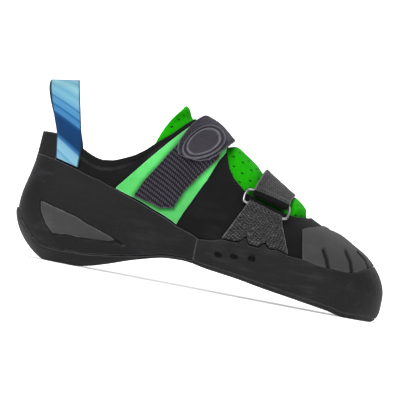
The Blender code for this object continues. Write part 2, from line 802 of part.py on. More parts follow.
def make_soles():
    """Heel band round the back up to the seam, and the half sole in front of it."""
    places, along = round_heel(SEAM_ALONG)
    rings = sole_rings(places, along, HEEL_BAND_WALL)
    for end in (0, -1):
        rings[end, :, 0] = SEAM_ALONG * LENGTH - CLEARANCE / 2
    loft("heel_band", rings, seam=np.ones(len(places), dtype=bool))
    places, along = round_toe(SEAM_ALONG)
    rings = sole_rings(places, along, RUBBER_WALL + CLEARANCE)
    for end in (0, -1):
        rings[end, :, 0] = SEAM_ALONG * LENGTH + CLEARANCE / 2
    loft("outsole", rings, seam=np.ones(len(places), dtype=bool))


def tongue_grid():
    """Along, side, turn and openness of the tongue's points: rows across, from outer to inner side."""
    across = np.linspace(-1, 1, TONGUE_COLUMNS)
    start = TONGUE_BACK - TONGUE_SWEEP * np.abs(across) ** TONGUE_CORNER
    share = np.array(TONGUE_ROWS)[:, None]
    along = start + (TONGUE_FRONT - start) * share
    place = np.where(across < 0, place_at(along, -1), place_at(along, 1))
    low = turn_at(place, edge(COLLAR, along) - TONGUE_UNDER)
    turn = 1 - (1 - low) * np.abs(across)
    height = (surface(place, turn)[..., 2] - base(along * LENGTH)) / INSTEP_HEIGHT
    front = step((along - 0.70) / 0.03)
    gap = TONGUE_GAP[0] + (TONGUE_GAP[1] - TONGUE_GAP[0]) * front
    rise = TONGUE_RISE[0] + (TONGUE_RISE[1] - TONGUE_RISE[0]) * front
    opened = step((height - edge(COLLAR, along) - gap) / rise)
    return place, turn, opened * edge(TONGUE_LIFT, along)


def make_tongue():
    """Padded sheet under the throat's edges that swells up between them."""
    place, turn, opened = tongue_grid()
    top = -(UPPER_WALL + CLEARANCE + TONGUE_EASE) + TONGUE_PUFF * opened
    outer = skin(place, turn, top)
    inner = skin(place, turn, top - TONGUE_THICKNESS)
    slab("tongue", outer, inner)


def lap(table, along):
    """Height at which a piece starts that leaves the clearance above an edge."""
    return edge(table, along) + 2 * CLEARANCE / INSTEP_HEIGHT


def upper_turns(places, along):
    """Rows of the upper from under the foot to its edge. What lies on the upper shares them."""
    closed = along >= THROAT_END - 1e-6
    high = np.where(closed, 1.0, turn_at(places, edge(COLLAR, along)))
    climb = np.linspace(0, 1, CLIMB_ROWS)
    return np.concatenate([np.tile(MARGIN, (len(places), 1)), high[:, None] * climb], axis=1), closed


def belt(name, where, low, high, offsets, rubber=False, ends=None):
    """Sheet on the upper between two heights, with the upper's own rows and sections.

    rubber takes its outer side from the rubber's form. ends cuts both ends off square at an x.
    """
    places, along = where
    turns, _ = upper_turns(places, along)
    inner_offset, outer_offset = offsets
    high_turn = np.where(np.isinf(high), 1.0, turn_at(places, np.minimum(high, 9.0)))
    low_turn = turn_at(places, np.maximum(low, TUCK))
    rows = np.clip(turns, low_turn[:, None], high_turn[:, None])
    rows = np.concatenate([low_turn[:, None], rows, high_turn[:, None]], axis=1)
    across = places[:, None]
    inner = skin(across, rows, np.full(rows.shape, inner_offset))
    if rubber:
        height = (surface(across, rows)[..., 2] - base(surface(across, rows)[..., 0])) / INSTEP_HEIGHT
        height[:, 0] = low
        outer_rows = np.where(rows > 0, rows, turn_at(across, height, rubber=True))
    else:
        outer_rows = rows
    outer = skin(across, outer_rows, np.full(rows.shape, outer_offset), rubber)
    rings = np.concatenate([outer[:, ::-1], inner], axis=1)
    if ends is not None:
        rings[0, :, 0] = ends
        rings[-1, :, 0] = ends
    return loft(name, rings, seam=np.isinf(high))


def resample(points, count):
    """Evenly spaced points on a line through the given ones, their lengths taken in metres."""
    points = np.array(points, dtype=float)
    steps = np.linalg.norm(np.diff(points, axis=0) * [LENGTH, INSTEP_HEIGHT], axis=1)
    reach = np.concatenate([[0.0], np.cumsum(steps)])
    at = np.linspace(0, reach[-1], count)
    return np.stack([np.interp(at, reach, points[:, i]) for i in range(2)], axis=1)


def make_patch(name, low, high, shape, offsets, side=-1):
    """Sheet between two edges that are seen from the side, from one offset to the other."""
    count, rows = shape
    low = resample(low, count)
    high = resample(high, count)
    share = np.linspace(0, 1, rows)[None, :, None]
    grid = low[:, None] * (1 - share) + high[:, None] * share
    place, turn = locate(grid[..., 0], grid[..., 1], side)
    inner, outer = offsets
    sheets = [skin(place, turn, np.full(turn.shape, offset)) for offset in (outer, inner)]
    return slab(name, *sheets)


def grow(line, by, way):
    """Edge of a window moved outwards by a length: its ends along, and all of it down or up."""
    moved = np.array(line)
    moved[0, 0] -= by / LENGTH
    moved[-1, 0] += 2 * by / LENGTH
    moved[:, 1] += way * 1.4 * by / INSTEP_HEIGHT
    return moved


def make_heel_cup():
    """Rubber over the heel from the band up, with an opening for the window on each side."""
    places, along = round_heel(SEAM_ALONG)
    offsets = (CLEARANCE, CLEARANCE + RUBBER_WALL)
    end = SEAM_ALONG * LENGTH - CLEARANCE / 2
    low = lap(SOLE_LINE, along)
    cup = belt("heel_cup", (places, along), low, edge(HEEL_CUP_TOP, along), offsets, True, end)
    wide = (grow(WINDOW_LOW, CLEARANCE, -1), grow(WINDOW_HIGH, CLEARANCE, 1))
    for side, label in ((-1, "outer"), (1, "inner")):
        offsets = (-CLEARANCE, CLEARANCE + 3 * RUBBER_WALL)
        cut_away(cup, make_patch("window_cutter_" + label, *wide, WINDOW_GRID, offsets, side))
        offsets = (CLEARANCE + WINDOW_EASE, RUBBER_WALL)
        make_patch("heel_window_" + label, WINDOW_LOW, WINDOW_HIGH, WINDOW_GRID, offsets, side)


def make_rand():
    """Rubber round the front, with its peaks and three vents on the outer side."""
    peaks = tuple(a for a in RAND_TOP["along"] if 0.58 < a < 0.69)
    places, along = round_toe(SEAM_ALONG, peaks)
    high = np.where(places < 0, edge(RAND_TOP, along), edge(RAND_TOP_INNER, along))
    offsets = (CLEARANCE, CLEARANCE + RUBBER_WALL)
    end = SEAM_ALONG * LENGTH + CLEARANCE / 2
    rand = belt("rand", (places, along), lap(SOLE_LINE, along), high, offsets, True, end)
    for i, (along_at, up) in enumerate(VENTS):
        place, turn = locate(np.array(along_at), np.array(up), -1)
        cut_away(rand, make_vent_cutter("vent_cutter_%d" % i, skin(place, turn, CLEARANCE)))


def make_vent_cutter(name, centre):
    """Short oval bar across the rand."""
    angle = np.arange(VENT_SIDES) * 2 * math.pi / VENT_SIDES
    oval = np.stack([np.cos(angle) * VENT_LENGTH / 2, 0 * angle, np.sin(angle) * VENT_WIDTH / 2], axis=1)
    reach = np.array([0.0, 3 * RUBBER_WALL, 0.0])
    return loft(name, np.stack([centre + oval - reach, centre + oval + reach]))


def make_toe_patch():
    """Rubber over the toe box from the rand up to the ridge, slit on both sides."""
    places, along = round_toe(PATCH_START)
    low = np.where(places < 0, lap(RAND_TOP, along), lap(RAND_TOP_INNER, along))
    high = np.where(along > PATCH_TOP["along"][-1] + 0.001, np.inf, edge(PATCH_TOP, along))
    inside = CLEARANCE + SKIN_EASE
    patch = belt("toe_patch", (places, along), low, high, (inside, inside + RUBBER_WALL))
    half = SLIT_WIDTH / 2 / LENGTH
    for side, label in ((-1, "outer"), (1, "inner")):
        for i, slit in enumerate(SLITS):
            line = np.array(slit)
            offsets = (-CLEARANCE, CLEARANCE + 2 * RUBBER_WALL)
            name = "slit_cutter_%d_%s" % (i, label)
            cut_away(patch, make_patch(name, line - [half, 0.0], line + [half, 0.0], (4, 2), offsets, side))


def on_quarter(name, table, offsets):
    """Sheet on the outer quarter between a table's lower and upper edge."""
    where = places_between(table["along"][0], table["along"][-1], -1)
    low = np.interp(where[1], table["along"], table["low"])
    high = np.interp(where[1], table["along"], table["high"])
    belt(name, where, low, high, offsets)


def make_wing_and_pad():
    """Light band on the outer quarter, and the hook pad on it. Returns the pad's outer offset."""
    wing = (CLEARANCE + SKIN_EASE, CLEARANCE + SKIN_EASE + WING_THICKNESS)
    on_quarter("wing", WING, wing)
    low = wing[1] + CLEARANCE + SKIN_EASE / 2
    pad = (low, low + PAD_THICKNESS)
    on_quarter("hook_pad", HOOK_PAD, pad)
    return pad[1]


def strap_rows(outer, inner, downs):
    """Back and front edge of a strap, as along, turn and side. downs are above 0 on the outer side."""
    edges = []
    for name in ("back", "front"):
        rows = []
        for down in downs:
            side = -1 if down >= 0 else 1
            table = outer if down >= 0 else inner
            turn = turn_at(place_at(table[name], side), np.minimum(table[name + "_up"], 8.0))
            order = np.argsort(table["down"])
            at, along, turn = (np.asarray(v)[order] for v in (table["down"], table[name], turn))
            rows.append((np.interp(abs(down), at, along), np.interp(abs(down), at, turn), side))
        edges.append(rows)
    return edges


def strap_grid(outer, inner, downs, offsets, count):
    """Points of a strap: one column for each place across it and one row for each down."""
    back, front = strap_rows(outer, inner, downs)
    grid = np.zeros((count, len(downs), 3))
    for i, share in enumerate(np.linspace(0, 1, count)):
        along = np.array([b[0] + (f[0] - b[0]) * share for b, f in zip(back, front)])
        turn = np.array([b[1] + (f[1] - b[1]) * share for b, f in zip(back, front)])
        place = np.array([place_at(a, b[2]) for a, b in zip(along, back)])
        grid[i] = skin(place, turn, np.asarray(offsets))
    return grid


def make_main_strap(pad_top):
    """Strap from the inner side over the instep, its round tip on the hook pad. Returns its outer offset."""
    downs = np.array(MAIN_STRAP_DOWNS)
    low = pad_top + CLEARANCE
    lift = CLEARANCE + (low - CLEARANCE) * step((downs - STRAP_CLIMB[0]) / (STRAP_CLIMB[1] - STRAP_CLIMB[0]))
    under = strap_grid(MAIN_STRAP, MAIN_STRAP_INNER, downs, lift, 5)
    over = strap_grid(MAIN_STRAP, MAIN_STRAP_INNER, downs, lift + STRAP_THICKNESS, 5)
    slab("main_strap", over, under)
    return low + STRAP_THICKNESS


def make_badge(strap_top):
    """Oval badge with a raised rim and a raised face, on the strap."""
    tilt = math.radians(BADGE_TILT)
    reach = BADGE_PROFILE["reach"]
    lift = strap_top + CLEARANCE + BADGE_EASE + BADGE_PROFILE["lift"] * BADGE_THICKNESS
    rings = []
    for angle in np.arange(BADGE_SIDES) * 2 * math.pi / BADGE_SIDES:
        far = math.cos(angle) * BADGE_LENGTH / 2
        near = math.sin(angle) * BADGE_WIDTH / 2
        sideways = (far * math.cos(tilt) - near * math.sin(tilt)) / LENGTH
        upward = (far * math.sin(tilt) + near * math.cos(tilt)) / INSTEP_HEIGHT
        place, turn = locate(BADGE_CENTRE[0] + sideways * reach, BADGE_CENTRE[1] + upward * reach, -1)
        rings.append(skin(place, turn, lift))
    loft("badge", np.stack(rings), around=True, seam=np.ones(BADGE_SIDES, dtype=bool))


def bar_offset(layer):
    """Offset of the ring's wire from the form: above one layer of the strap."""
    return CLEARANCE + layer + CLEARANCE + RING_WIRE / 2


def fold(layer, per_metre, rows, over_rows):
    """Closed section of a layer that goes under a bar at 1, round it and back over itself.

    Returns how far along it and how far off the form its points lie.
    """
    middle = bar_offset(WEB_THICKNESS)
    near = middle - RING_WIRE / 2 - CLEARANCE - layer
    outer = middle - near
    inner = RING_WIRE / 2 + CLEARANCE
    close = near + layer + CLEARANCE
    angles = np.radians([-90, -45, 0, 45, 90])
    neck = 1.0 - RING_WIRE * per_metre
    start = [(at, CLEARANCE + (near - CLEARANCE) * step((at - 0.5) / 0.3)) for at in rows]
    points = list(start)
    points += [(1.0 + outer * math.cos(a) * per_metre, middle + outer * math.sin(a)) for a in angles]
    points += [(neck, close + layer + RING_WIRE / 2)]
    points += [(at, close + layer) for at in over_rows]
    points += [(at, close) for at in over_rows[::-1]]
    points += [(neck, close + RING_WIRE / 2)]
    points += [(1.0 + inner * math.cos(a) * per_metre, middle + inner * math.sin(a)) for a in angles[::-1]]
    points += [(at, lift + layer) for at, lift in start[::-1]]
    return np.array([p[0] for p in points]), np.array([p[1] for p in points])


def make_front_strap():
    """Strap from the inner side's rand over the tongue and round the ring's upper bar, back on itself."""
    per_metre = (1.0 - FRONT_STRAP["down"][2]) / (INSTEP_HEIGHT * FRONT_STRAP_FALL)
    downs, lift = fold(WEB_THICKNESS, per_metre, FRONT_STRAP_DOWNS, FRONT_STRAP_BACK)
    loft("front_strap", strap_grid(FRONT_STRAP, FRONT_STRAP_INNER, downs, lift + STRAP_EASE, 5))


def make_ring_tab():
    """Tab folded over the ring's lower bar, its foot cut along the rand's top edge."""
    per_metre = 1 / ((TAB_TOP[0][1] - TAB_LOW) * INSTEP_HEIGHT)
    share, lift = fold(TAB_LAYER, per_metre, TAB_ROWS, TAB_BACK)
    rings = []
    for along in TAB_FOOT:
        across = (along - TAB_FOOT[0]) / (TAB_FOOT[-1] - TAB_FOOT[0])
        foot = np.array([along, lap(RAND_TOP, along) + TAB_MARGIN])
        top = np.array(TAB_TOP[0]) * (1 - across) + np.array(TAB_TOP[1]) * across
        line = foot + (top - foot) * share[:, None]
        place, turn = locate(line[:, 0], line[:, 1], -1)
        rings.append(skin(place, turn, lift))
    loft("ring_tab", np.stack(rings))


def make_ring():
    """Flat loop of wire whose upper bar lies in the strap's fold and whose lower bar lies in the tab's."""
    upper = np.array(RING_TOP)
    lower = np.array(TAB_TOP)
    line = [upper[0] + (upper[1] - upper[0]) * share for share in np.linspace(-0.02, 1.02, 6)]
    line += ring_end(upper[1], lower[1], 1)
    line += [lower[1] + (lower[0] - lower[1]) * share for share in np.linspace(-0.02, 1.02, 6)]
    line += ring_end(lower[0], upper[0], -1)
    line = np.array(line)
    place, turn = locate(line[:, 0], line[:, 1], -1)
    path = skin(place, turn, np.full(turn.shape, bar_offset(WEB_THICKNESS)))
    along = unit(np.roll(path, -1, axis=0) - np.roll(path, 1, axis=0))
    side = unit(np.cross(along, normal(place, turn)))
    up = np.cross(side, along)
    angle = (np.arange(RING_SIDES) * 2 * math.pi / RING_SIDES)[None, :, None]
    rings = path[:, None] + RING_WIRE / 2 * (np.cos(angle) * side[:, None] + np.sin(angle) * up[:, None])
    loft("ring", rings, around=True)


def ring_end(start, end, way):
    """Points of the ring's round end from one bar to the other."""
    points = []
    for angle in np.radians(RING_END_ANGLES):
        share = (1 - math.sin(angle)) / 2
        out = way * (RING_PAST + RING_PAST * math.cos(angle)) / LENGTH
        points.append(start + (end - start) * share + [out, 0.0])
    return points


def make_heel_tab():
    """Ribbed webbing on the back of the collar, between the heel cup and the rim."""
    places, along = round_heel(HEEL_TAB_END)
    low = lap(HEEL_CUP_TOP, along) + TAB_MARGIN
    high = edge(COLLAR, along) - TAB_MARGIN
    belt("heel_tab", (places, along), low, high, (CLEARANCE, CLEARANCE + HEEL_TAB_THICKNESS))


def loop_edge(along, top, side):
    """One line of the pull loop from the heel cup up one side and to the loop's top."""
    start = lap(HEEL_CUP_TOP, along) + LOOP_MARGIN
    rim = edge(COLLAR, along) + LOOP_MARGIN
    ups = start + (rim - start) * np.linspace(0, 1, 4)
    place = np.full(4, place_at(along, side))
    wall = skin(place, turn_at(place, ups), np.full(4, CLEARANCE + LOOP_EASE + LOOP_THICKNESS / 2))
    heel_rim = base(0.0) + COLLAR["up"][0] * INSTEP_HEIGHT
    peak = np.array([top[0] * LENGTH, 0.0, heel_rim + (1 + top[1]) * LOOP_HEIGHT])
    rim_point = wall[-1]
    arch = []
    for angle in np.linspace(0, math.pi / 2, 8)[1:]:
        rise = math.sin(angle) ** LOOP_ARCH["rise"]
        out = max(math.cos(angle), 0.0) ** LOOP_ARCH["out"]
        lean = math.sin(angle) ** LOOP_ARCH["lean"]
        x = rim_point[0] + (peak[0] - rim_point[0]) * lean
        if side > 0:
            x -= LOOP_SWAY * math.sin(2 * angle)
        arch.append([x, rim_point[1] * out, rim_point[2] + (peak[2] - rim_point[2]) * rise])
    return np.concatenate([wall, np.array(arch)])


def make_pull_loop():
    """Webbing from one side of the heel over to the other, standing above the collar."""
    lines = []
    for share in np.linspace(0, 1, 4):
        along = LOOP_FOOT[0] + (LOOP_FOOT[1] - LOOP_FOOT[0]) * share
        top = np.array(LOOP_TOP[0]) * (1 - share) + np.array(LOOP_TOP[1]) * share
        outer = loop_edge(along, top, -1)
        inner = loop_edge(along, top, 1)
        lines.append(np.concatenate([outer, inner[-2::-1]]))
    grid = np.array(lines)
    out = unit(np.cross(np.gradient(grid, axis=0), np.gradient(grid, axis=1)))
    half = LOOP_THICKNESS / 2
    slab("pull_loop", grid + out * half, grid - out * half)


def stand_on_floor():
    """Move the shoe so that the origin is under the middle of its box, on the floor."""
    solids = [o for o in bpy.data.objects if o.type == "MESH" and not o.hide_render]
    points = np.concatenate([[tuple(v.co) for v in o.data.vertices] for o in solids])
    low = points.min(axis=0)
    high = points.max(axis=0)
    shift = np.array([(low[0] + high[0]) / 2, (low[1] + high[1]) / 2, 0.0])
    for made in bpy.data.objects:
        for vertex in made.data.vertices:
            vertex.co = np.array(vertex.co) - shift


def main():
    """Build every piece and stand the shoe on the floor."""
    for old in list(bpy.data.objects):
        bpy.data.objects.remove(old)
    make_upper()
    make_insole()
    make_soles()
    make_tongue()
    make_heel_cup()
    make_rand()
    make_toe_patch()
    make_badge(make_main_strap(make_wing_and_pad()))
    make_front_strap()
    make_ring_tab()
    make_ring()
    make_heel_tab()
    make_pull_loop()
    stand_on_floor()


main()
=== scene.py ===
"""Climbing shoe for the right foot, standing empty on a pale floor in soft light.

Every visible piece is a fine mesh laid on the shoe's own form, with its finish made from nodes.
"""

from __future__ import annotations

import json
import logging
import math
from dataclasses import dataclass, field
from enum import Enum

import bmesh
import bpy
import numpy as np
from mathutils import Matrix, Vector

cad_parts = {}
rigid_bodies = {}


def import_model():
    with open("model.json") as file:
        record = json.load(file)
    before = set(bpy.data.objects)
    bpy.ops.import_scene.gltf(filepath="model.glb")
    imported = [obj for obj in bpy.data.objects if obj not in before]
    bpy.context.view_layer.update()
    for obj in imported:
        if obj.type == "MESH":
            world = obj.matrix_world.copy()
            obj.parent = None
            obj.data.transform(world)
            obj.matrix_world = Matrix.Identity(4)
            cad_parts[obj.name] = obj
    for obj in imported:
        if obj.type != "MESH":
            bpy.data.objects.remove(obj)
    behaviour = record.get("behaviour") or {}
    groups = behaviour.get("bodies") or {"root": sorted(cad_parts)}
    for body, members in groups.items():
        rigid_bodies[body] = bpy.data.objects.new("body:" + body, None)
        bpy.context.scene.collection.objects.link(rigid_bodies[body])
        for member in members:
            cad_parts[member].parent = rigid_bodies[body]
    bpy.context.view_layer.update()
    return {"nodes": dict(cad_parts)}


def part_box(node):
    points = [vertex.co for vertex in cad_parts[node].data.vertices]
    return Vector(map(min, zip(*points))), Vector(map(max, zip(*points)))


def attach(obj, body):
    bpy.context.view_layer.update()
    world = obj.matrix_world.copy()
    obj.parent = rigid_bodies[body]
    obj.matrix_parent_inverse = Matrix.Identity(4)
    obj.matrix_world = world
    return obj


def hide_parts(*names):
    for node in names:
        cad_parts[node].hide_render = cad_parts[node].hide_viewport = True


log = logging.getLogger("shoe")

MM = 0.001
Array = np.ndarray
Pair = tuple[float, float]
Colour = tuple[float, float, float]
Table = dict[str, Array]
Grids = tuple[Array, Array]
Tree = bpy.types.NodeTree
Wire = bpy.types.NodeSocket
Thing = bpy.types.Object


def columns(names: tuple[str, ...], *rows: tuple[float, ...]) -> Table:
    """Table with named columns.

    Args:
        names: the columns' names.
        rows: one tuple of numbers for each row.
    Returns:
        Each column by its name.
    """
    table = np.array(rows, dtype=float)
    return {name: table[:, i] for i, name in enumerate(names)}


class Side(Enum):
    """Side of the foot, by the sign of its places on the outline."""

    OUTER = -1
    INNER = 1


# The shoe's form, the same as its solids'

LENGTH = 0.244
BALL_WIDTH = 0.088
INSTEP_HEIGHT = 0.09
ARCH_RISE = 0.0168
SOLE_THICKNESS = 0.0036
CLEARANCE = 0.0003
UPPER_WALL = 0.0016
RUBBER_WALL = 0.0015
HEEL_BAND_WALL = 0.0027
TONGUE_THICKNESS = 0.0024
INSOLE_THICKNESS = 0.0015
HEEL_LEAN = 0.0046
HEEL_CENTRE = 0.127
TOE_CENTRE = 0.836
TURN_BLEND = 0.045
SEAM_ALONG = 0.484
TOE_TIP_ACROSS = 0.11
THROAT_END = 0.776
SCALE = np.array([LENGTH, INSTEP_HEIGHT])

PLAN = columns(
    ("along", "outer", "inner"),
    (0.02, 0.2, 0.195), (0.057, 0.292, 0.286), (0.123, 0.345, 0.335), (0.246, 0.358, 0.34),
    (0.39, 0.375, 0.35), (0.533, 0.44, 0.41), (0.656, 0.487, 0.478), (0.77, 0.483, 0.511),
    (0.852, 0.432, 0.498), (0.926, 0.3, 0.44), (0.975, 0.12, 0.322),
)
UNDERSIDE = columns(
    ("along", "rise"),
    (0.17, 0.0), (0.213, 0.11), (0.254, 0.29), (0.336, 0.7), (0.418, 0.98), (0.455, 1.0), (0.525, 0.85),
    (0.607, 0.7), (0.664, 0.56), (0.787, 0.3), (0.86, 0.14), (0.91, 0.0),
)
SECTIONS = columns(
    ("along", "widest", "above", "below", "rubber", "lean"),
    (0.0, 0.3, 2.0, 1.8, 1.7, 1.0), (0.06, 0.275, 2.0, 2.2, 2.1, 1.0),
    (0.13, 0.245, 2.0, 3.0, 3.4, 1.0), (0.25, 0.22, 2.0, 2.8, 4.5, 0.8),
    (0.41, 0.2, 2.0, 2.5, 4.5, 0.15), (0.57, 0.19, 1.95, 2.8, 7.0, 0.0),
    (0.72, 0.18, 1.9, 3.2, 8.0, 0.0), (0.84, 0.165, 1.9, 3.2, 8.0, 0.0),
    (0.94, 0.15, 1.85, 3.0, 7.0, 0.0), (1.0, 0.145, 1.8, 3.0, 6.0, 0.0),
)
RIDGE = columns(
    ("along", "up", "across"),
    (0.127, 1.95, 0.0), (0.246, 1.72, 0.0), (0.31, 1.44, 0.005), (0.35, 1.22, 0.01),
    (0.383, 1.084, 0.015), (0.42, 1.012, 0.022), (0.484, 0.946, 0.035), (0.525, 0.88, 0.048),
    (0.566, 0.846, 0.06), (0.615, 0.785, 0.075), (0.676, 0.711, 0.09), (0.717, 0.659, 0.097),
    (0.775, 0.568, 0.105), (0.807, 0.54, 0.11), (0.836, 0.508, 0.11),
)
COLLAR = columns(
    ("along", "up"),
    (0.0, 0.885), (0.048, 0.885), (0.09, 0.85), (0.129, 0.815), (0.158, 0.78), (0.194, 0.748),
    (0.225, 0.74), (0.251, 0.748), (0.277, 0.76), (0.302, 0.785), (0.334, 0.84), (0.367, 0.892),
    (0.393, 0.95), (0.417, 0.998), (0.46, 0.955), (0.5, 0.905), (0.514, 0.872), (0.522, 0.8),
    (0.53, 0.73), (0.545, 0.668), (0.565, 0.628), (0.59, 0.582), (0.64, 0.548), (0.7, 0.535),
    (0.735, 0.536), (0.756, 0.55), (0.776, 0.56),
)
SOLE_LINE = columns(
    ("along", "up"),
    (0.0, 0.3), (0.008, 0.238), (0.022, 0.176), (0.04, 0.118), (0.06, 0.084), (0.087, 0.066),
    (0.13, 0.058), (0.169, 0.062), (0.232, 0.042), (0.314, 0.006), (0.375, -0.003), (1.0, -0.003),
)
HEEL_CUP_TOP = columns(
    ("along", "up"),
    (0.0, 0.716), (0.065, 0.69), (0.127, 0.652), (0.193, 0.598), (0.241, 0.52), (0.307, 0.398),
    (0.363, 0.296), (0.421, 0.198), (0.46, 0.165), (0.484, 0.146),
)
RAND_TOP = columns(
    ("along", "up"),
    (0.484, 0.14), (0.518, 0.164), (0.548, 0.198), (0.592, 0.209), (0.612, 0.266), (0.622, 0.218),
    (0.649, 0.227), (0.663, 0.273), (0.676, 0.24), (0.7, 0.255), (0.729, 0.242), (0.772, 0.25),
    (0.804, 0.241), (0.84, 0.246), (0.88, 0.262), (0.93, 0.29), (0.965, 0.325), (1.0, 0.35),
)
RAND_TOP_INNER = columns(
    ("along", "up"),
    (0.484, 0.14), (0.548, 0.19), (0.65, 0.225), (0.729, 0.242), (0.84, 0.246), (0.88, 0.262),
    (0.93, 0.29), (0.965, 0.325), (1.0, 0.35),
)


def smooth(at: Array, knots: Array, values: Array) -> Array:
    """Monotone cubic through a table's column, level past both ends.

    Args:
        at: where to read it.
        knots: the rows' places.
        values: the column.
    Returns:
        The values there.
    """
    gap = np.diff(knots)
    slope = np.diff(values) / gap
    product = slope[:-1] * slope[1:]
    total = np.where(product > 0, slope[:-1] + slope[1:], 1.0)
    inner = np.where(product > 0, 2 * product / total, 0.0)
    tangent = chain([0.0], inner, [0.0])
    index = np.clip(np.searchsorted(knots, at) - 1, 0, len(gap) - 1)
    t = np.clip((at - knots[index]) / gap[index], 0, 1)
    start = values[index] * (1 + 2 * t) + tangent[index] * gap[index] * t
    end = values[index + 1] * (3 - 2 * t) - tangent[index + 1] * gap[index] * (1 - t)
    return start * (1 - t) ** 2 + end * t**2


def step(value: Array) -> Array:
    """Smooth step from 0 to 1."""
    t = np.clip(value, 0, 1)
    return t * t * (3 - 2 * t)


def chain(*parts: Array | list[float]) -> Array:
    """One array of several, end to end."""
    return np.concatenate(parts)


def norm(vectors: Array) -> Array:
    """Length of each vector."""
    return np.linalg.norm(vectors, axis=-1)


def unit(vectors: Array) -> Array:
    """Vectors of length 1."""
    return vectors / np.maximum(norm(vectors)[..., None], 1e-12)


def travelled(steps: Array, axis: int = 0) -> Array:
    """Length run so far, from 0, for steps along an axis."""
    return np.insert(np.cumsum(steps, axis=axis), 0, 0.0, axis=axis)


def run_of(points: Array, axis: int = 0) -> Array:
    """Length run so far, from 0, through points along an axis."""
    return travelled(norm(np.diff(points, axis=axis)), axis)


def edge(table: Table, along: Array) -> Array:
    """Height of an edge that a table gives, straight between its rows."""
    return np.interp(along, table["along"], table["up"])


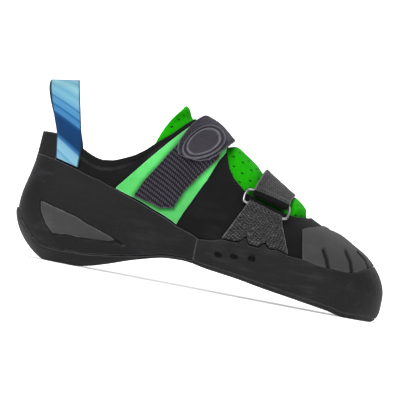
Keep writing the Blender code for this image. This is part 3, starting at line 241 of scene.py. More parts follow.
@dataclass
class Last:
    """The shoe's form: a plan curve with sections from under the foot up to a ridge.

    place runs round the outline from the heel, 0, to the toe, -1 on the outer and 1 on the inner
    side. turn runs in a section from -1 under the foot by 0 at the widest to 1 on the ridge.
    """

    shift: Array = field(default_factory=lambda: np.zeros(3))

    def __post_init__(self) -> None:
        """Set up the plan curve and the lists that turn a length along into a place."""
        along = PLAN["along"] * LENGTH
        outer = np.stack([along, -PLAN["outer"] * BALL_WIDTH], axis=1)
        inner = np.stack([along, PLAN["inner"] * BALL_WIDTH], axis=1)
        tip = [[LENGTH, TOE_TIP_ACROSS * BALL_WIDTH]]
        self.points = chain([[0.0, 0.0]], outer, tip, inner[::-1])
        self.knots, self.bends = self.spline(self.points)
        self.tip = self.knots[len(along) + 1]
        self.places = np.linspace(0, 1, 2001)
        self.outer_along = np.maximum.accumulate(self.outline(-self.places)[:, 0]) / LENGTH
        self.inner_along = np.maximum.accumulate(self.outline(self.places)[:, 0]) / LENGTH

    @staticmethod
    def spline(points: Array) -> Grids:
        """Closed curve with even curvature: its knots and second derivatives."""
        count = len(points)
        gaps = np.linalg.norm(np.roll(points, -1, axis=0) - points, axis=1)
        matrix = np.zeros((count, count))
        change = np.zeros_like(points)
        for i in range(count):
            after = (i + 1) % count
            matrix[i, i - 1] = gaps[i - 1]
            matrix[i, i] = 2 * (gaps[i - 1] + gaps[i])
            matrix[i, after] = gaps[i]
            rise = (points[after] - points[i]) / gaps[i] - (points[i] - points[i - 1]) / gaps[i - 1]
            change[i] = 6 * rise
        return chain([0.0], np.cumsum(gaps)), np.linalg.solve(matrix, change)

    def outline(self, place: Array) -> Array:
        """Plan point at a place."""
        whole = self.knots[-1]
        place = (np.asarray(place) + 1) % 2 - 1
        at = np.where(place < 0, -place * self.tip, whole - place * (whole - self.tip)) % whole
        last = len(self.points) - 1
        index = np.clip(np.searchsorted(self.knots, at, side="right") - 1, 0, last)
        after = (index + 1) % len(self.points)
        gap = (self.knots[index + 1] - self.knots[index])[..., None]
        t = (at - self.knots[index])[..., None] / gap
        bend = (t**3 - t) * self.bends[after] + ((1 - t) ** 3 - (1 - t)) * self.bends[index]
        return (1 - t) * self.points[index] + t * self.points[after] + bend * gap**2 / 6

    def place_at(self, along: Array, side: int) -> Array:
        """Place on the outline that is this far along, on the outer (-1) or inner (1) side."""
        reach = self.outer_along if side < 0 else self.inner_along
        return side * np.interp(along, reach, self.places)

    def along_at(self, place: Array) -> Array:
        """How far along a place on the outline is."""
        return self.outline(place)[..., 0] / LENGTH

    @staticmethod
    def underside(x: Array) -> Array:
        """Height of the sole's underside above the floor."""
        return ARCH_RISE * smooth(x / LENGTH, UNDERSIDE["along"], UNDERSIDE["rise"])

    def base(self, x: Array) -> Array:
        """Height of the form's underside above the floor."""
        return self.underside(x) + SOLE_THICKNESS + CLEARANCE

    @staticmethod
    def spine(x: Array) -> Array:
        """Where the section that reaches the outline at x has its centre line."""
        x = np.asarray(x, dtype=float)
        low = HEEL_CENTRE * LENGTH
        high = TOE_CENTRE * LENGTH
        blend = TURN_BLEND * LENGTH
        near_heel = low + (x - low + blend) ** 2 / (4 * blend)
        eased = np.where(x < low - blend, low, np.where(x < low + blend, near_heel, x))
        near_toe = high - (high + blend - x) ** 2 / (4 * blend)
        return np.where(x > high + blend, high, np.where(x > high - blend, near_toe, eased))

    def values(self, place: Array) -> Table:
        """Centre, outline point and section values at a place on the outline."""
        point = self.outline(place)
        along = point[..., 0] / LENGTH
        found = {name: smooth(along, SECTIONS["along"],
            SECTIONS[name]) for name in SECTIONS if name != "along"}
        found["point"] = point
        found["centre_x"] = self.spine(point[..., 0])
        centre = found["centre_x"] / LENGTH
        found["centre_y"] = BALL_WIDTH * smooth(centre, RIDGE["along"], RIDGE["across"])
        found["top"] = INSTEP_HEIGHT * smooth(centre, RIDGE["along"], RIDGE["up"])
        found["widest"] = found["widest"] * INSTEP_HEIGHT
        return found

    def form(self, place: Array, turn: Array, rubber: bool = False) -> Array:
        """Point of the form. The rubber's form is squarer below and reaches the sole's underside."""
        place, turn = np.broadcast_arrays(np.asarray(place, dtype=float), np.asarray(turn, dtype=float))
        v = self.values(place)
        angle = np.abs(turn) * math.pi / 2
        cosine = np.maximum(np.cos(angle), 0)
        below = v["rubber"] if rubber else v["below"]
        depth = v["widest"] + (SOLE_THICKNESS + CLEARANCE if rubber else 0)
        over = turn >= 0
        power = np.where(over, v["above"], below)
        reach = cosine ** (2 / power)
        height = np.where(over, v["top"] - v["widest"], -depth) * np.sin(angle) ** (2 / power) + v["widest"]
        away = v["point"] - np.stack([v["centre_x"], v["centre_y"]], axis=-1)
        size = norm(away)
        reach = reach * (1 - HEEL_LEAN * v["lean"] * step((height / INSTEP_HEIGHT - 0.33) / 0.36) / size)
        x = v["centre_x"] + away[..., 0] * reach
        y = v["centre_y"] + away[..., 1] * reach
        return np.stack([x, y, self.base(x) + height], axis=-1)

    def ridge_normal(self, place: Array) -> Array:
        """Normal on the ridge, square to the ridge as seen from the side."""
        x = self.spine(self.outline(place)[..., 0])
        near = 0.0005

        def height(at: Array) -> Array:
            """Height of the ridge."""
            return self.base(at) + INSTEP_HEIGHT * smooth(at / LENGTH, RIDGE["along"], RIDGE["up"])

        slope = (height(x + near) - height(x - near)) / (2 * near)
        return unit(np.stack([-slope, np.zeros_like(slope), np.ones_like(slope)], axis=-1))

    def normal(self, place: Array, turn: Array, rubber: bool = False) -> Array:
        """Normal of the form, pointing out."""
        place, turn = np.broadcast_arrays(np.asarray(place, dtype=float), np.asarray(turn, dtype=float))
        near = 0.002
        held = np.clip(turn, -0.985, 0.985)
        across = self.form(place + near, held, rubber) - self.form(place - near, held, rubber)
        upward = self.form(place, held + near, rubber) - self.form(place, held - near, rubber)
        out = unit(np.cross(upward, across))
        v = self.values(place)
        level = self.base(v["point"][..., 0]) + v["widest"]
        middle = np.stack([v["centre_x"], v["centre_y"], level], axis=-1)
        away = self.form(place, held, rubber) - middle
        out = out * np.where(np.sum(out * away, axis=-1) < 0, -1.0, 1.0)[..., None]
        out = np.where((turn > 0.999)[..., None], self.ridge_normal(place), out)
        return np.where((turn < -0.999)[..., None], np.array([0.0, 0.0, -1.0]), out)

    def skin(self, place: Array, turn: Array, offset: Array, rubber: bool = False) -> Array:
        """Point at an offset from the form, outwards, in the standing shoe's frame."""
        place, turn, lift = np.broadcast_arrays(place, turn, np.asarray(offset, dtype=float))
        point = self.form(place, turn, rubber)
        return point + self.normal(place, turn, rubber) * lift[..., None] - self.shift

    def turn_at(self, place: Array, up: Array, rubber: bool = False) -> Array:
        """The turn at which a section is this high, as a share of INSTEP_HEIGHT."""
        v = self.values(place)
        height = np.asarray(up) * INSTEP_HEIGHT
        over = np.clip((height - v["widest"]) / (v["top"] - v["widest"]), 0, 1)
        below = v["rubber"] if rubber else v["below"]
        depth = v["widest"] + (SOLE_THICKNESS + CLEARANCE if rubber else 0)
        under = np.clip((v["widest"] - height) / depth, 0, 1)
        upper = np.arcsin(over ** (v["above"] / 2)) / (math.pi / 2)
        lower = -np.arcsin(under ** (below / 2)) / (math.pi / 2)
        return np.where(height >= v["widest"], upper, lower)

    def locate(self, along: Array, up: Array, side: int) -> Grids:
        """Place and turn of a point that is seen from the side at (along, up)."""
        along = np.asarray(along, dtype=float)
        target = along.copy()
        for _ in range(10):
            place = self.place_at(target, side)
            turn = self.turn_at(place, up)
            target = np.clip(target + along - self.form(place, turn)[..., 0] / LENGTH, 0.0, 1.0)
        return place, turn


# Meshes on the form

EDGE_STEPS = np.array([0.0, 0.12, 0.35, 0.65, 1.0])


def graded(length: Array, count: int, radius: float) -> Array:
    """Shares from 0 to 1 with close rows near both ends, where an edge is rounded.

    Args:
        length: the length that each line of shares covers, in metres.
        count: how many even steps lie between the two rounded ends.
        radius: how far the rounding reaches, in metres.
    Returns:
        One line of shares for each length.
    """
    length = np.maximum(np.atleast_1d(np.asarray(length, dtype=float)), 1e-6)
    reach = np.minimum(EDGE_STEPS[None] * radius / length[:, None], 0.4 * EDGE_STEPS[None])
    last = reach[:, -1:]
    middle = last + (1 - 2 * last) * np.linspace(0, 1, count + 1)[None, 1:-1]
    return np.concatenate([reach, middle, 1 - reach[:, ::-1]], axis=1)


def rounding(distance: Array, radius: float) -> Array:
    """How far a rounded edge has dropped at a distance from it."""
    share = np.clip(1 - distance / radius, 0, 1)
    return radius * (1 - np.sqrt(1 - share**2))


def bump(distance: Array, width: float) -> Array:
    """Soft hump of height 1 that is as wide as given on each side."""
    return np.exp(-((distance / width) ** 2))


def near_line(points: Array, line: list[Pair] | tuple[Pair, ...]) -> Array:
    """Distance from points to a line of straight pieces, all as (along, up) and the result in metres."""
    at = points * SCALE
    found = np.full(points.shape[:-1], np.inf)
    for start, end in zip(line[:-1], line[1:]):
        a = np.array(start) * SCALE
        way = np.array(end) * SCALE - a
        share = np.clip(((at - a) @ way) / max(float(way @ way), 1e-12), 0, 1)
        found = np.minimum(found, norm(at - a - share[..., None] * way))
    return found


def inside(points: Array, ring: list[Pair]) -> Array:
    """Signed distance to a closed outline, above 0 inside it, in metres."""
    closed = list(ring) + [ring[0]]
    crossed = np.zeros(points.shape[:-1], dtype=bool)
    for (x0, y0), (x1, y1) in zip(closed[:-1], closed[1:]):
        spans = (y0 > points[..., 1]) != (y1 > points[..., 1])
        rise = y1 - y0 if y1 != y0 else 1e-9
        cut = x0 + (points[..., 1] - y0) * (x1 - x0) / rise
        crossed ^= spans & (points[..., 0] < cut)
    return np.where(crossed, 1.0, -1.0) * near_line(points, closed)


def lumps(points: Array, size: float, seed: float) -> Array:
    """Slow, even unevenness between -1 and 1, from a few crossed waves.

    Args:
        points: places in metres.
        size: length of the waves.
        seed: shifts the waves, so that two pieces differ.
    Returns:
        The height at each place.
    """
    total = np.zeros(points.shape[:-1])
    for i, way in enumerate(((1.0, 0.3, 0.5), (-0.4, 1.0, 0.2), (0.2, -0.5, 1.0), (0.8, 0.7, -0.6))):
        wave = points @ np.array(way) * 2 * math.pi / size * (1 + 0.31 * i)
        total += np.sin(wave + seed * (i + 1.7))
    return total / 4


def faces_of_grid(rows: int, cols: int, start: int = 0, flip: bool = False, around: bool = False) -> Array:
    """Quads of a grid whose points are numbered row by row."""
    index = np.arange(rows * cols).reshape(rows, cols) + start
    if around:
        index = np.concatenate([index, index[:1]], axis=0)
    quads = np.stack([index[:-1, :-1], index[1:, :-1], index[1:, 1:], index[:-1, 1:]], axis=-1).reshape(-1,
        4)
    return quads[:, ::-1] if flip else quads


def rim_faces(line: Array, size: int) -> Array:
    """Quads between a line of points and the same line on the other side, size numbers on."""
    return np.stack([line[:-1], line[1:], line[1:] + size, line[:-1] + size], axis=1)


def linked(name: str, data: bpy.types.ID) -> Thing:
    """New object in the scene."""
    made = bpy.data.objects.new(name, data)
    bpy.context.scene.collection.objects.link(made)
    return made


def make_object(name: str, points: Array, faces: list[list[int]], fields: Table,
        sharp: float = 50.0) -> Thing:
    """Object from points and faces, with its doubles merged.

    Args:
        name: name of the piece.
        points: all points.
        faces: point numbers of each face.
        fields: values for the points by name, one number or three numbers each.
        sharp: angle in degrees from which an edge is sharp.
    Returns:
        The object, in the scene.
    """
    mesh = bpy.data.meshes.new(name)
    mesh.from_pydata(points.tolist(), [], faces)
    for key, values in fields.items():
        vector = values.ndim == 2
        attribute = mesh.attributes.new(key, "FLOAT_VECTOR" if vector else "FLOAT", "POINT")
        attribute.data.foreach_set("vector" if vector else "value", values.astype(np.float32).ravel())
    made = linked(name, mesh)
    work = bmesh.new()
    work.from_mesh(mesh)
    bmesh.ops.remove_doubles(work, verts=work.verts, dist=2e-6)
    bmesh.ops.dissolve_degenerate(work, edges=work.edges, dist=1e-7)
    bmesh.ops.recalc_face_normals(work, faces=work.faces)
    work.to_mesh(mesh)
    work.free()
    mesh.shade_smooth()
    mesh.set_sharp_from_angle(angle=math.radians(sharp))
    return made


@dataclass
class Patch:
    """Grid of places and turns on the form, with its lengths and its distance from its own edges."""

    last: Last
    place: Array
    turn: Array
    rubber: bool = False
    around: bool = False
    ridge: Array | None = None

    def __post_init__(self) -> None:
        """Measure the grid."""
        flat = self.last.skin(self.place, self.turn, 0.0, self.rubber)
        self.up_arc = run_of(flat, 1)
        self.along_arc = run_of(flat)
        from_top = self.up_arc[:, -1:] - self.up_arc
        if self.ridge is not None:
            from_top = np.where(self.ridge[:, None], 1.0, from_top)
        self.from_top = from_top
        self.edge = np.minimum(self.up_arc, from_top)
        if not self.around:
            ends = np.minimum(self.along_arc, self.along_arc[-1:] - self.along_arc)
            self.edge = np.minimum(self.edge, ends)
        self.flat = flat
        local = flat + self.last.shift
        self.seen = np.stack([local[..., 0], local[..., 2] - self.last.base(local[..., 0])],
            axis=-1) / SCALE

    def cloth(self) -> Array:
        """Lengths along and up the sheet in millimetres, for weaves."""
        middle = self.along_arc.shape[1] // 2
        along = np.broadcast_to(self.along_arc[:, middle : middle + 1], self.up_arc.shape)
        return np.stack([along / MM, self.up_arc / MM, np.zeros_like(along)], axis=-1)

    def solid(self, name: str, outer: Array, inner: Array, fields: Table | None = None,
            sharp: float = 50.0) -> Thing:
        """Closed sheet between two offsets from the form.

        Args:
            name: name of the piece.
            outer: offset of its outer side at each point.
            inner: offset of its inner side.
            fields: more values for the points, by name.
            sharp: angle in degrees from which an edge is sharp.
        Returns:
            The object.
        """
        outer_points = self.last.skin(self.place, self.turn, outer, self.rubber)
        inner_points = self.last.skin(self.place, self.turn, inner)
        return self.between(name, (outer_points, inner_points), fields, sharp)

    def between(self, name: str, sides: Grids | list[Array], fields: Table | None,
            sharp: float = 50.0) -> Thing:
        """Closed sheet between two grids of points."""
        shape = self.place.shape
        size = shape[0] * shape[1]
        index = np.arange(size).reshape(shape)
        quads = [faces_of_grid(*shape, around=self.around), faces_of_grid(*shape, size, True, self.around)]
        for j in (0, -1):
            line = chain(index[:, j], index[:1, j]) if self.around else index[:, j]
            rim = rim_faces(line, size)
            if j and self.ridge is not None:
                flags = chain(self.ridge, self.ridge[:1]) if self.around else self.ridge
                rim = rim[~(flags[:-1] & flags[1:])]
            quads.append(rim if j else rim[:, ::-1])
        if not self.around:
            quads += [rim_faces(index[0], size), rim_faces(index[-1], size)[:, ::-1]]
        every = {"edge": self.edge / MM, "cloth": self.cloth(), **(fields or {})}
        doubled = {}
        for key, values in every.items():
            flat = values.reshape(-1, 3) if key == "cloth" else values.ravel()
            doubled[key] = chain(flat, flat)
        points = np.concatenate([side.reshape(-1, 3) for side in sides])
        return make_object(name, points, np.concatenate(quads).tolist(), doubled, sharp)


def both_sides(last: Last, first: float, end: float, count: int) -> Array:
    """Lengths along that are close enough on both sides of the outline.

    Args:
        last: the form.
        first: where to start, as a share of LENGTH.
        end: where to end.
        count: how many to make, about.
    Returns:
        The lengths in order.
    """
    spans = [np.linspace(last.place_at(first, side), last.place_at(end, side), count // 2) for side in (-1,
        1)]
    kept = [first]
    for value in np.sort(last.along_at(np.concatenate(spans))):
        if value - kept[-1] > 2e-5:
            kept.append(float(value))
    kept[-1] = end
    return np.array(kept)


def whole_round(last: Last, count: int) -> Grids:
    """Places from the heel round the outer side to the toe and back, and how far along each is."""
    along = both_sides(last, 0.0, 1.0, count)
    places = chain(last.place_at(along, -1), last.place_at(along, 1)[-2:0:-1])
    return places, chain(along, along[-2:0:-1])


def round_toe(last: Last, first: float, count: int, extra: Array | None = None) -> Grids:
    """Places from the outer side at first round the toe to the inner side at first, denser at extra."""
    along = both_sides(last, first, 1.0, count)
    if extra is not None:
        far = np.abs(along[:, None] - extra).min(axis=1) > 0.0006
        along = np.unique(chain(along[far], extra))
    places = chain(last.place_at(along, -1), last.place_at(along, 1)[-2::-1])
    return places, chain(along, along[-2::-1])


def round_heel(last: Last, end: float, count: int) -> Grids:
    """Places from the outer side at end round the heel to the inner side at end."""
    along = both_sides(last, 0.0, end, count)
    places = chain(last.place_at(along, -1)[::-1], last.place_at(along, 1)[1:])
    return places, chain(along[::-1], along[1:])


def belt(last: Last, places: Array, low: Array, high: Array, rows: int, radius: float,
        rubber: bool = False) -> Patch:
    """Patch between two heights of the form.

    Args:
        last: the form.
        places: places on the outline.
        low: height of the lower edge at each place, as a share of INSTEP_HEIGHT.
        high: the same of the upper edge.
        rows: how many even rows lie between the edges.
        radius: how far the rounding of its edges reaches.
        rubber: whether it lies on the rubber's squarer form.
    Returns:
        The patch.
    """
    low_turn = last.turn_at(places, low, rubber)[:, None]
    fine = low_turn + (last.turn_at(places, high, rubber)[:, None] - low_turn) * np.linspace(0, 1, 160)
    arc = run_of(last.form(places[:, None], fine, rubber), 1)
    shares = graded(arc[:, -1], rows, radius)
    turn = np.array([np.interp(s * a[-1], a, f) for s, a, f in zip(shares, arc, fine)])
    return Patch(last, np.broadcast_to(places[:, None], turn.shape), turn, rubber)


def resample(line: list[Pair] | tuple[Pair, ...], count: int) -> Array:
    """Evenly spaced points on a line of (along, up)."""
    points = np.array(line, dtype=float)
    reach = travelled(norm(np.diff(points, axis=0) * SCALE))
    at = np.linspace(0, reach[-1], count)
    return np.stack([np.interp(at, reach, points[:, i]) for i in range(2)], axis=1)


def side_patch(last: Last, low: Array, high: Array, rows: int, radius: float, side: Side) -> Patch:
    """Patch between two lines that are seen from the side.

    Args:
        last: the form.
        low: points of the lower line, as (along, up).
        high: as many points of the upper line.
        rows: how many even rows lie between them.
        radius: how far the rounding of its edges reaches.
        side: the side of the shoe.
    Returns:
        The patch.
    """
    shares = graded(norm((high - low) * SCALE), rows, radius)[..., None]
    grid = low[:, None] * (1 - shares) + high[:, None] * shares
    place, turn = last.locate(grid[..., 0], grid[..., 1], side.value)
    return Patch(last, place, turn)


# Effects that several finishes share, as shader node groups


class Socket(Enum):
    """Kinds of socket on an effect."""

    NUMBER = "NodeSocketFloat"
    VECTOR = "NodeSocketVector"


def join(tree: Tree, value: object, socket: Wire) -> None:
    """Link a socket to an input, or set the input to a value."""
    if isinstance(value, Wire):
        tree.links.new(value, socket)
    else:
        socket.default_value = value


def add_node(tree: Tree, kind: str, settings: dict[str, str] | None = None,
        **inputs: object) -> bpy.types.Node:
    """Add a node with its settings, and link or set its inputs."""
    made = tree.nodes.new("ShaderNode" + kind)
    for key, value in (settings or {}).items():
        setattr(made, key, value)
    for key, value in inputs.items():
        join(tree, value, made.inputs[key.replace("_", " ")])
    return made


def calc(tree: Tree, operation: str, *values: object, kind: str = "Math", give: str = "Value") -> Wire:
    """Result of a math node, for numbers or vectors."""
    made = add_node(tree, kind, {"operation": operation})
    for value, socket in zip(values, made.inputs):
        join(tree, value, socket)
    return made.outputs[give]


def read(tree: Tree, name: str, kind: str = "Fac") -> Wire:
    """Value that the mesh carries at its points."""
    return add_node(tree, "Attribute", {"attribute_name": name}).outputs[kind]


def remap(tree: Tree, value: Wire, given: Pair, wanted: Pair) -> Wire:
    """Value moved from one range to another, held at both ends."""
    made = add_node(tree, "MapRange", Value=value, From_Min=given[0], From_Max=given[1], To_Min=wanted[0],
        To_Max=wanted[1])
    return made.outputs["Result"]


def mix(tree: Tree, share: object, first: object, second: object, how: str = "MIX") -> Wire:
    """Mix of two colours."""
    made = add_node(tree, "Mix", {"data_type": "RGBA", "blend_type": how}, Factor=share)
    join(tree, first, made.inputs[6])
    join(tree, second, made.inputs[7])
    return made.outputs[2]


def ramp(tree: Tree, share: Wire, *stops: tuple[float, Colour]) -> Wire:
    """Colour ramp through its stops."""
    made = add_node(tree, "ValToRGB", Fac=share)
    steps = made.color_ramp.elements
    for i in (0, -1):
        steps[i].position, steps[i].color = stops[i][0], (*stops[i][1], 1)
    for position, colour in stops[1:-1]:
        steps.new(position).color = (*colour, 1)
    return made.outputs["Color"]


def placed(tree: Tree, group: Tree, **inputs: object) -> bpy.types.bpy_prop_collection:
    """Outputs of a shared effect that is placed with its values."""
    made = tree.nodes.new("ShaderNodeGroup")
    made.node_tree = group
    for key, value in inputs.items():
        join(tree, value, made.inputs[key])
    return made.outputs


class Effect:
    """A shader node group while it is being built."""

    def __init__(self, name: str, inputs: dict[str, float | None], outputs: tuple[str, ...]) -> None:
        """Make the group with its named sockets.

        Args:
            name: name of the effect.
            inputs: starting value of each input, None where it is a vector.
            outputs: names of the outputs.
        """
        self.tree = bpy.data.node_groups.new(name, "ShaderNodeTree")
        for key, value in inputs.items():
            kind = Socket.VECTOR if value is None else Socket.NUMBER
            made = self.tree.interface.new_socket(name=key, in_out="INPUT", socket_type=kind.value)
            if value is not None:
                made.default_value = value
        for key in outputs:
            self.tree.interface.new_socket(name=key, in_out="OUTPUT", socket_type=Socket.NUMBER.value)
        self.take = self.tree.nodes.new("NodeGroupInput").outputs
        self.end = self.tree.nodes.new("NodeGroupOutput").inputs

    def math(self, operation: str, *values: object) -> Wire:
        """Result of a math node."""
        return calc(self.tree, operation, *values)

    def times(self, first: object, second: object) -> Wire:
        """Product of two values."""
        return calc(self.tree, "MULTIPLY", first, second)

    def noise(self, place: Wire, scale: object, detail: float, rough: float = 0.5) -> Wire:
        """Noise between 0 and 1."""
        made = add_node(self.tree, "TexNoise", Vector=place, Scale=scale, Detail=detail, Roughness=rough)
        return made.outputs["Fac"]

    def give(self, key: str, socket: Wire) -> None:
        """Link a result to an output of the group."""
        self.tree.links.new(socket, self.end[key])


def grain_effect() -> Tree:
    """Fine irregular surface: a small noise on a slower one."""
    made = Effect("fine grain", {"Vector": None, "Scale": 900.0, "Slow": 60.0}, ("Height", "Tone"))
    made.give("Height", made.noise(made.take["Vector"], made.take["Scale"], 3.0, 0.6))
    made.give("Tone", made.noise(made.take["Vector"], made.take["Slow"], 4.0, 0.55))
    return made.tree


def rub_and_highlight_effect() -> Tree:
    """Lighter rim near a piece's own edge, broken up by noise: rubbed wear, and a painted highlight where
    the edge catches the light.
    """
    made = Effect("rubbed edge", {"Edge": 9.0, "Width": 1.0, "Vector": None}, ("Mask",))
    near = made.math("SUBTRACT", 1.0, made.math("DIVIDE", made.take["Edge"], made.take["Width"]))
    broken = made.times(made.math("MAXIMUM", near, 0.0), made.noise(made.take["Vector"], 260.0, 3.0))
    made.give("Mask", made.math("MINIMUM", made.times(broken, 1.8), 1.0))
    return made.tree


def scuff_effect() -> Tree:
    """Thin streaks and dull spots that handling leaves."""
    made = Effect("scuffs", {"Vector": None, "Amount": 0.4}, ("Mask",))
    place = made.take["Vector"]
    long_way = add_node(made.tree, "Mapping", Vector=place, Scale=(26.0, 90.0, 240.0)).outputs["Vector"]
    both = made.times(made.noise(long_way, 1.0, 5.0, 0.7), made.noise(place, 38.0, 2.0))
    raised = made.times(made.math("MAXIMUM", made.math("SUBTRACT", both, 0.27), 0.0), 6.0)
    made.give("Mask", made.math("MINIMUM", made.times(raised, made.take["Amount"]), 1.0))
    return made.tree


def weave_effect() -> Tree:
    """Crossing threads, or rows of rope, in a sheet's own lengths in millimetres, turned by an angle."""
    inputs = {"Cloth": None, "Pitch": 1.0, "Stretch": 1.0, "Angle": 0.0, "Fuzz": 0.3, "Rope": 0.0}
    made = Effect("weave", inputs, ("Height", "Gap"))
    take = made.take
    x, y, _ = add_node(made.tree, "SeparateXYZ", Vector=take["Cloth"]).outputs
    cosine = made.math("COSINE", take["Angle"])
    sine = made.math("SINE", take["Angle"])
    along = made.math("ADD", made.times(x, cosine), made.times(y, sine))
    across = made.math("SUBTRACT", made.times(y, cosine), made.times(x, sine))
    wobble = made.math("SUBTRACT", made.noise(take["Cloth"], 0.9, 2.0), 0.5)
    shifted = made.math("ADD", across, made.times(wobble, take["Fuzz"]))
    turn = 2 * math.pi
    first = made.times(made.math("DIVIDE", along, made.times(take["Pitch"], take["Stretch"])), turn)
    rows = made.math("DIVIDE", shifted, take["Pitch"])
    half = made.times(made.times(rows, turn), 0.5)
    crossed = made.times(made.math("SIGN", made.math("SINE", half)), math.pi / 2)
    slanted = made.times(made.math("FRACT", rows), 0.75 * turn)
    plain = made.times(crossed, made.math("SUBTRACT", 1.0, take["Rope"]))
    offset = made.math("ADD", plain, made.times(slanted, take["Rope"]))
    warp = made.math("SINE", made.math("ADD", first, offset))
    weft = made.math("ABSOLUTE", made.math("SINE", half))
    height = made.times(made.math("ADD", made.times(warp, 0.35), 0.65), weft)
    made.give("Height", height)
    gap = made.math("SUBTRACT", 1.0, made.times(height, 1.9))
    made.give("Gap", made.math("MINIMUM", made.math("MAXIMUM", gap, 0.0), 1.0))
    return made.tree


@dataclass
class Effects:
    """All shared effects, each built once."""

    grain: Tree
    rub_and_highlight: Tree
    scuffs: Tree
    weave: Tree

    @classmethod
    def build(cls) -> "Effects":
        """Build every effect."""
        return cls(grain_effect(), rub_and_highlight_effect(), scuff_effect(), weave_effect())


@dataclass(frozen=True)
class Finish:
    """What every finish has: its name, colours and gloss."""

    name: str
    base: Colour
    light: Colour
    dark: Colour
    roughness: float = 0.8
    gloss_range: float = 0.1
    relief: float = 0.0001
    grain: float = 900.0
    slow: float = 45.0
    rub_and_highlight_width: float = 0.8
    rub_and_highlight: float = 0.5
    scuffs: float = 0.3
    pitch: float = 0.0
    stretch: float = 1.0
    angle: float = 0.0
    fuzz: float = 0.3
    weave_relief: float = 0.0003
    gap: float = 0.6
    sheen: float = 0.0
    specular: float = 0.12
    rope: float = 0.0
    metallic: float = 0.0

    def build(self, effects: Effects) -> bpy.types.Material:
        """Make the material.

        Args:
            effects: the shared effects.
        Returns:
            The material, its Principled shader fed by them.
        """
        made = bpy.data.materials.new(self.name)
        made.use_nodes = True
        tree = made.node_tree
        shader = tree.nodes["Principled BSDF"].inputs
        place = tree.nodes.new("ShaderNodeTexCoord").outputs["Object"]
        grain = placed(tree, effects.grain, Vector=place, Scale=self.grain, Slow=self.slow)
        rub_and_highlight = placed(tree, effects.rub_and_highlight, Edge=read(tree, "edge"), Width=self.rub_and_highlight_width, Vector=place)
        scuffs = placed(tree, effects.scuffs, Vector=place, Amount=self.scuffs)
        tone = ramp(tree, grain["Tone"], (0.3, self.dark), (0.55, self.base))
        speck = ramp(tree, grain["Height"], (0.5, self.base), (1.0, self.light))
        colour = mix(tree, 0.5, tone, speck)
        height = calc(tree, "MULTIPLY", grain["Height"], self.relief / MM)
        if self.pitch:
            weave = placed(tree, effects.weave, Cloth=read(tree, "cloth", "Vector"), Pitch=self.pitch,
                Stretch=self.stretch, Angle=math.radians(self.angle), Fuzz=self.fuzz, Rope=self.rope)
            # Painted shade and highlight on the weave: threads lighter where raised, darker where low and
            # darker still in the gaps.
            lifted = ramp(tree, weave["Height"], (0.25, self.dark), (1.0, self.light))
            colour = mix(tree, 0.55, colour, lifted)
            colour = mix(tree, calc(tree, "MULTIPLY", weave["Gap"], self.gap), colour, (*self.dark, 1))
            raised = calc(tree, "MULTIPLY", weave["Height"], self.weave_relief / MM)
            height = calc(tree, "ADD", height, raised)
        # Lighter rim colour at the edges: rubbed wear and a painted highlight.
        rim = tuple(min(1.0, 2.4 * c) for c in self.light)
        colour = mix(tree, calc(tree, "MULTIPLY", rub_and_highlight["Mask"], self.rub_and_highlight), colour, (*rim, 1))
        colour = mix(tree, scuffs["Mask"], colour, (*self.light, 1))
        colour, height = self.extra(tree, colour, height)
        gloss = calc(tree, "MULTIPLY", grain["Tone"], self.gloss_range)
        relief = add_node(tree, "Bump", Height=height, Distance=MM, Strength=0.8)
        roughness = calc(tree, "ADD", gloss, self.roughness - self.gloss_range / 2)
        given = {
            "Base Color": colour, "Roughness": roughness, "Normal": relief.outputs["Normal"],
            "Sheen Weight": self.sheen, "Sheen Roughness": 0.5, "Specular IOR Level": self.specular,
            "Metallic": self.metallic,
        }
        for key, value in given.items():
            join(tree, value, shader[key])
        return made

    def extra(self, tree: Tree, colour: Wire, height: Wire) -> tuple[Wire, Wire]:
        """Paint shade where the mesh marks it: in holes, slits, seam grooves, between ribs and knit rows,
        and under and behind other parts.
        """
        return mix(tree, read(tree, "deep"), colour, tuple(0.25 * c for c in self.dark) + (1.0,)), height


CLOTH = {"scuffs": 0.0, "sheen": 0.06, "specular": 0.08}
SEWN = {"relief": 0.00002, "scuffs": 0.0, "rub_and_highlight": 0.0}
MICROFIBRE = Finish("black microfibre", (0.0078, 0.0078, 0.0082), (0.026, 0.025, 0.027),
    (0.005, 0.005, 0.006), roughness=0.88, relief=0.00005, grain=1500.0, slow=55.0, rub_and_highlight=0.4, scuffs=0.25,
    sheen=0.04, specular=0.08)
LINING = Finish("dark lining", (0.035, 0.035, 0.038), (0.07, 0.07, 0.074), (0.018, 0.018, 0.02),
    roughness=0.95, pitch=0.9, weave_relief=0.00012, relief=0.00003, scuffs=0.0, specular=0.08)
FOOTBED = Finish("footbed knit", (0.03, 0.03, 0.032), (0.06, 0.06, 0.064), (0.014, 0.014, 0.015),
    roughness=0.95, pitch=1.1, weave_relief=0.00015, relief=0.00003, scuffs=0.1, specular=0.08)
SOLE_RUBBER = Finish("sole rubber", (0.0135, 0.0135, 0.0135), (0.054, 0.054, 0.054), (0.01, 0.01, 0.01),
    roughness=0.56, gloss_range=0.2, relief=0.00004, grain=1100.0, rub_and_highlight=0.5, scuffs=0.35)
CUP_RUBBER = Finish("heel rubber", (0.0125, 0.0125, 0.0132), (0.048, 0.046, 0.051), (0.0075, 0.0075, 0.008),
    roughness=0.62, gloss_range=0.18, relief=0.00003, grain=1300.0, slow=30.0, rub_and_highlight_width=0.7, rub_and_highlight=0.75,
    scuffs=0.35)
RAND_RUBBER = Finish("rand rubber", (0.014, 0.014, 0.014), (0.05, 0.05, 0.05), (0.0085, 0.0085, 0.0085),
    roughness=0.6, gloss_range=0.18, relief=0.00004, grain=1200.0, rub_and_highlight_width=0.7, rub_and_highlight=0.5, scuffs=0.45)
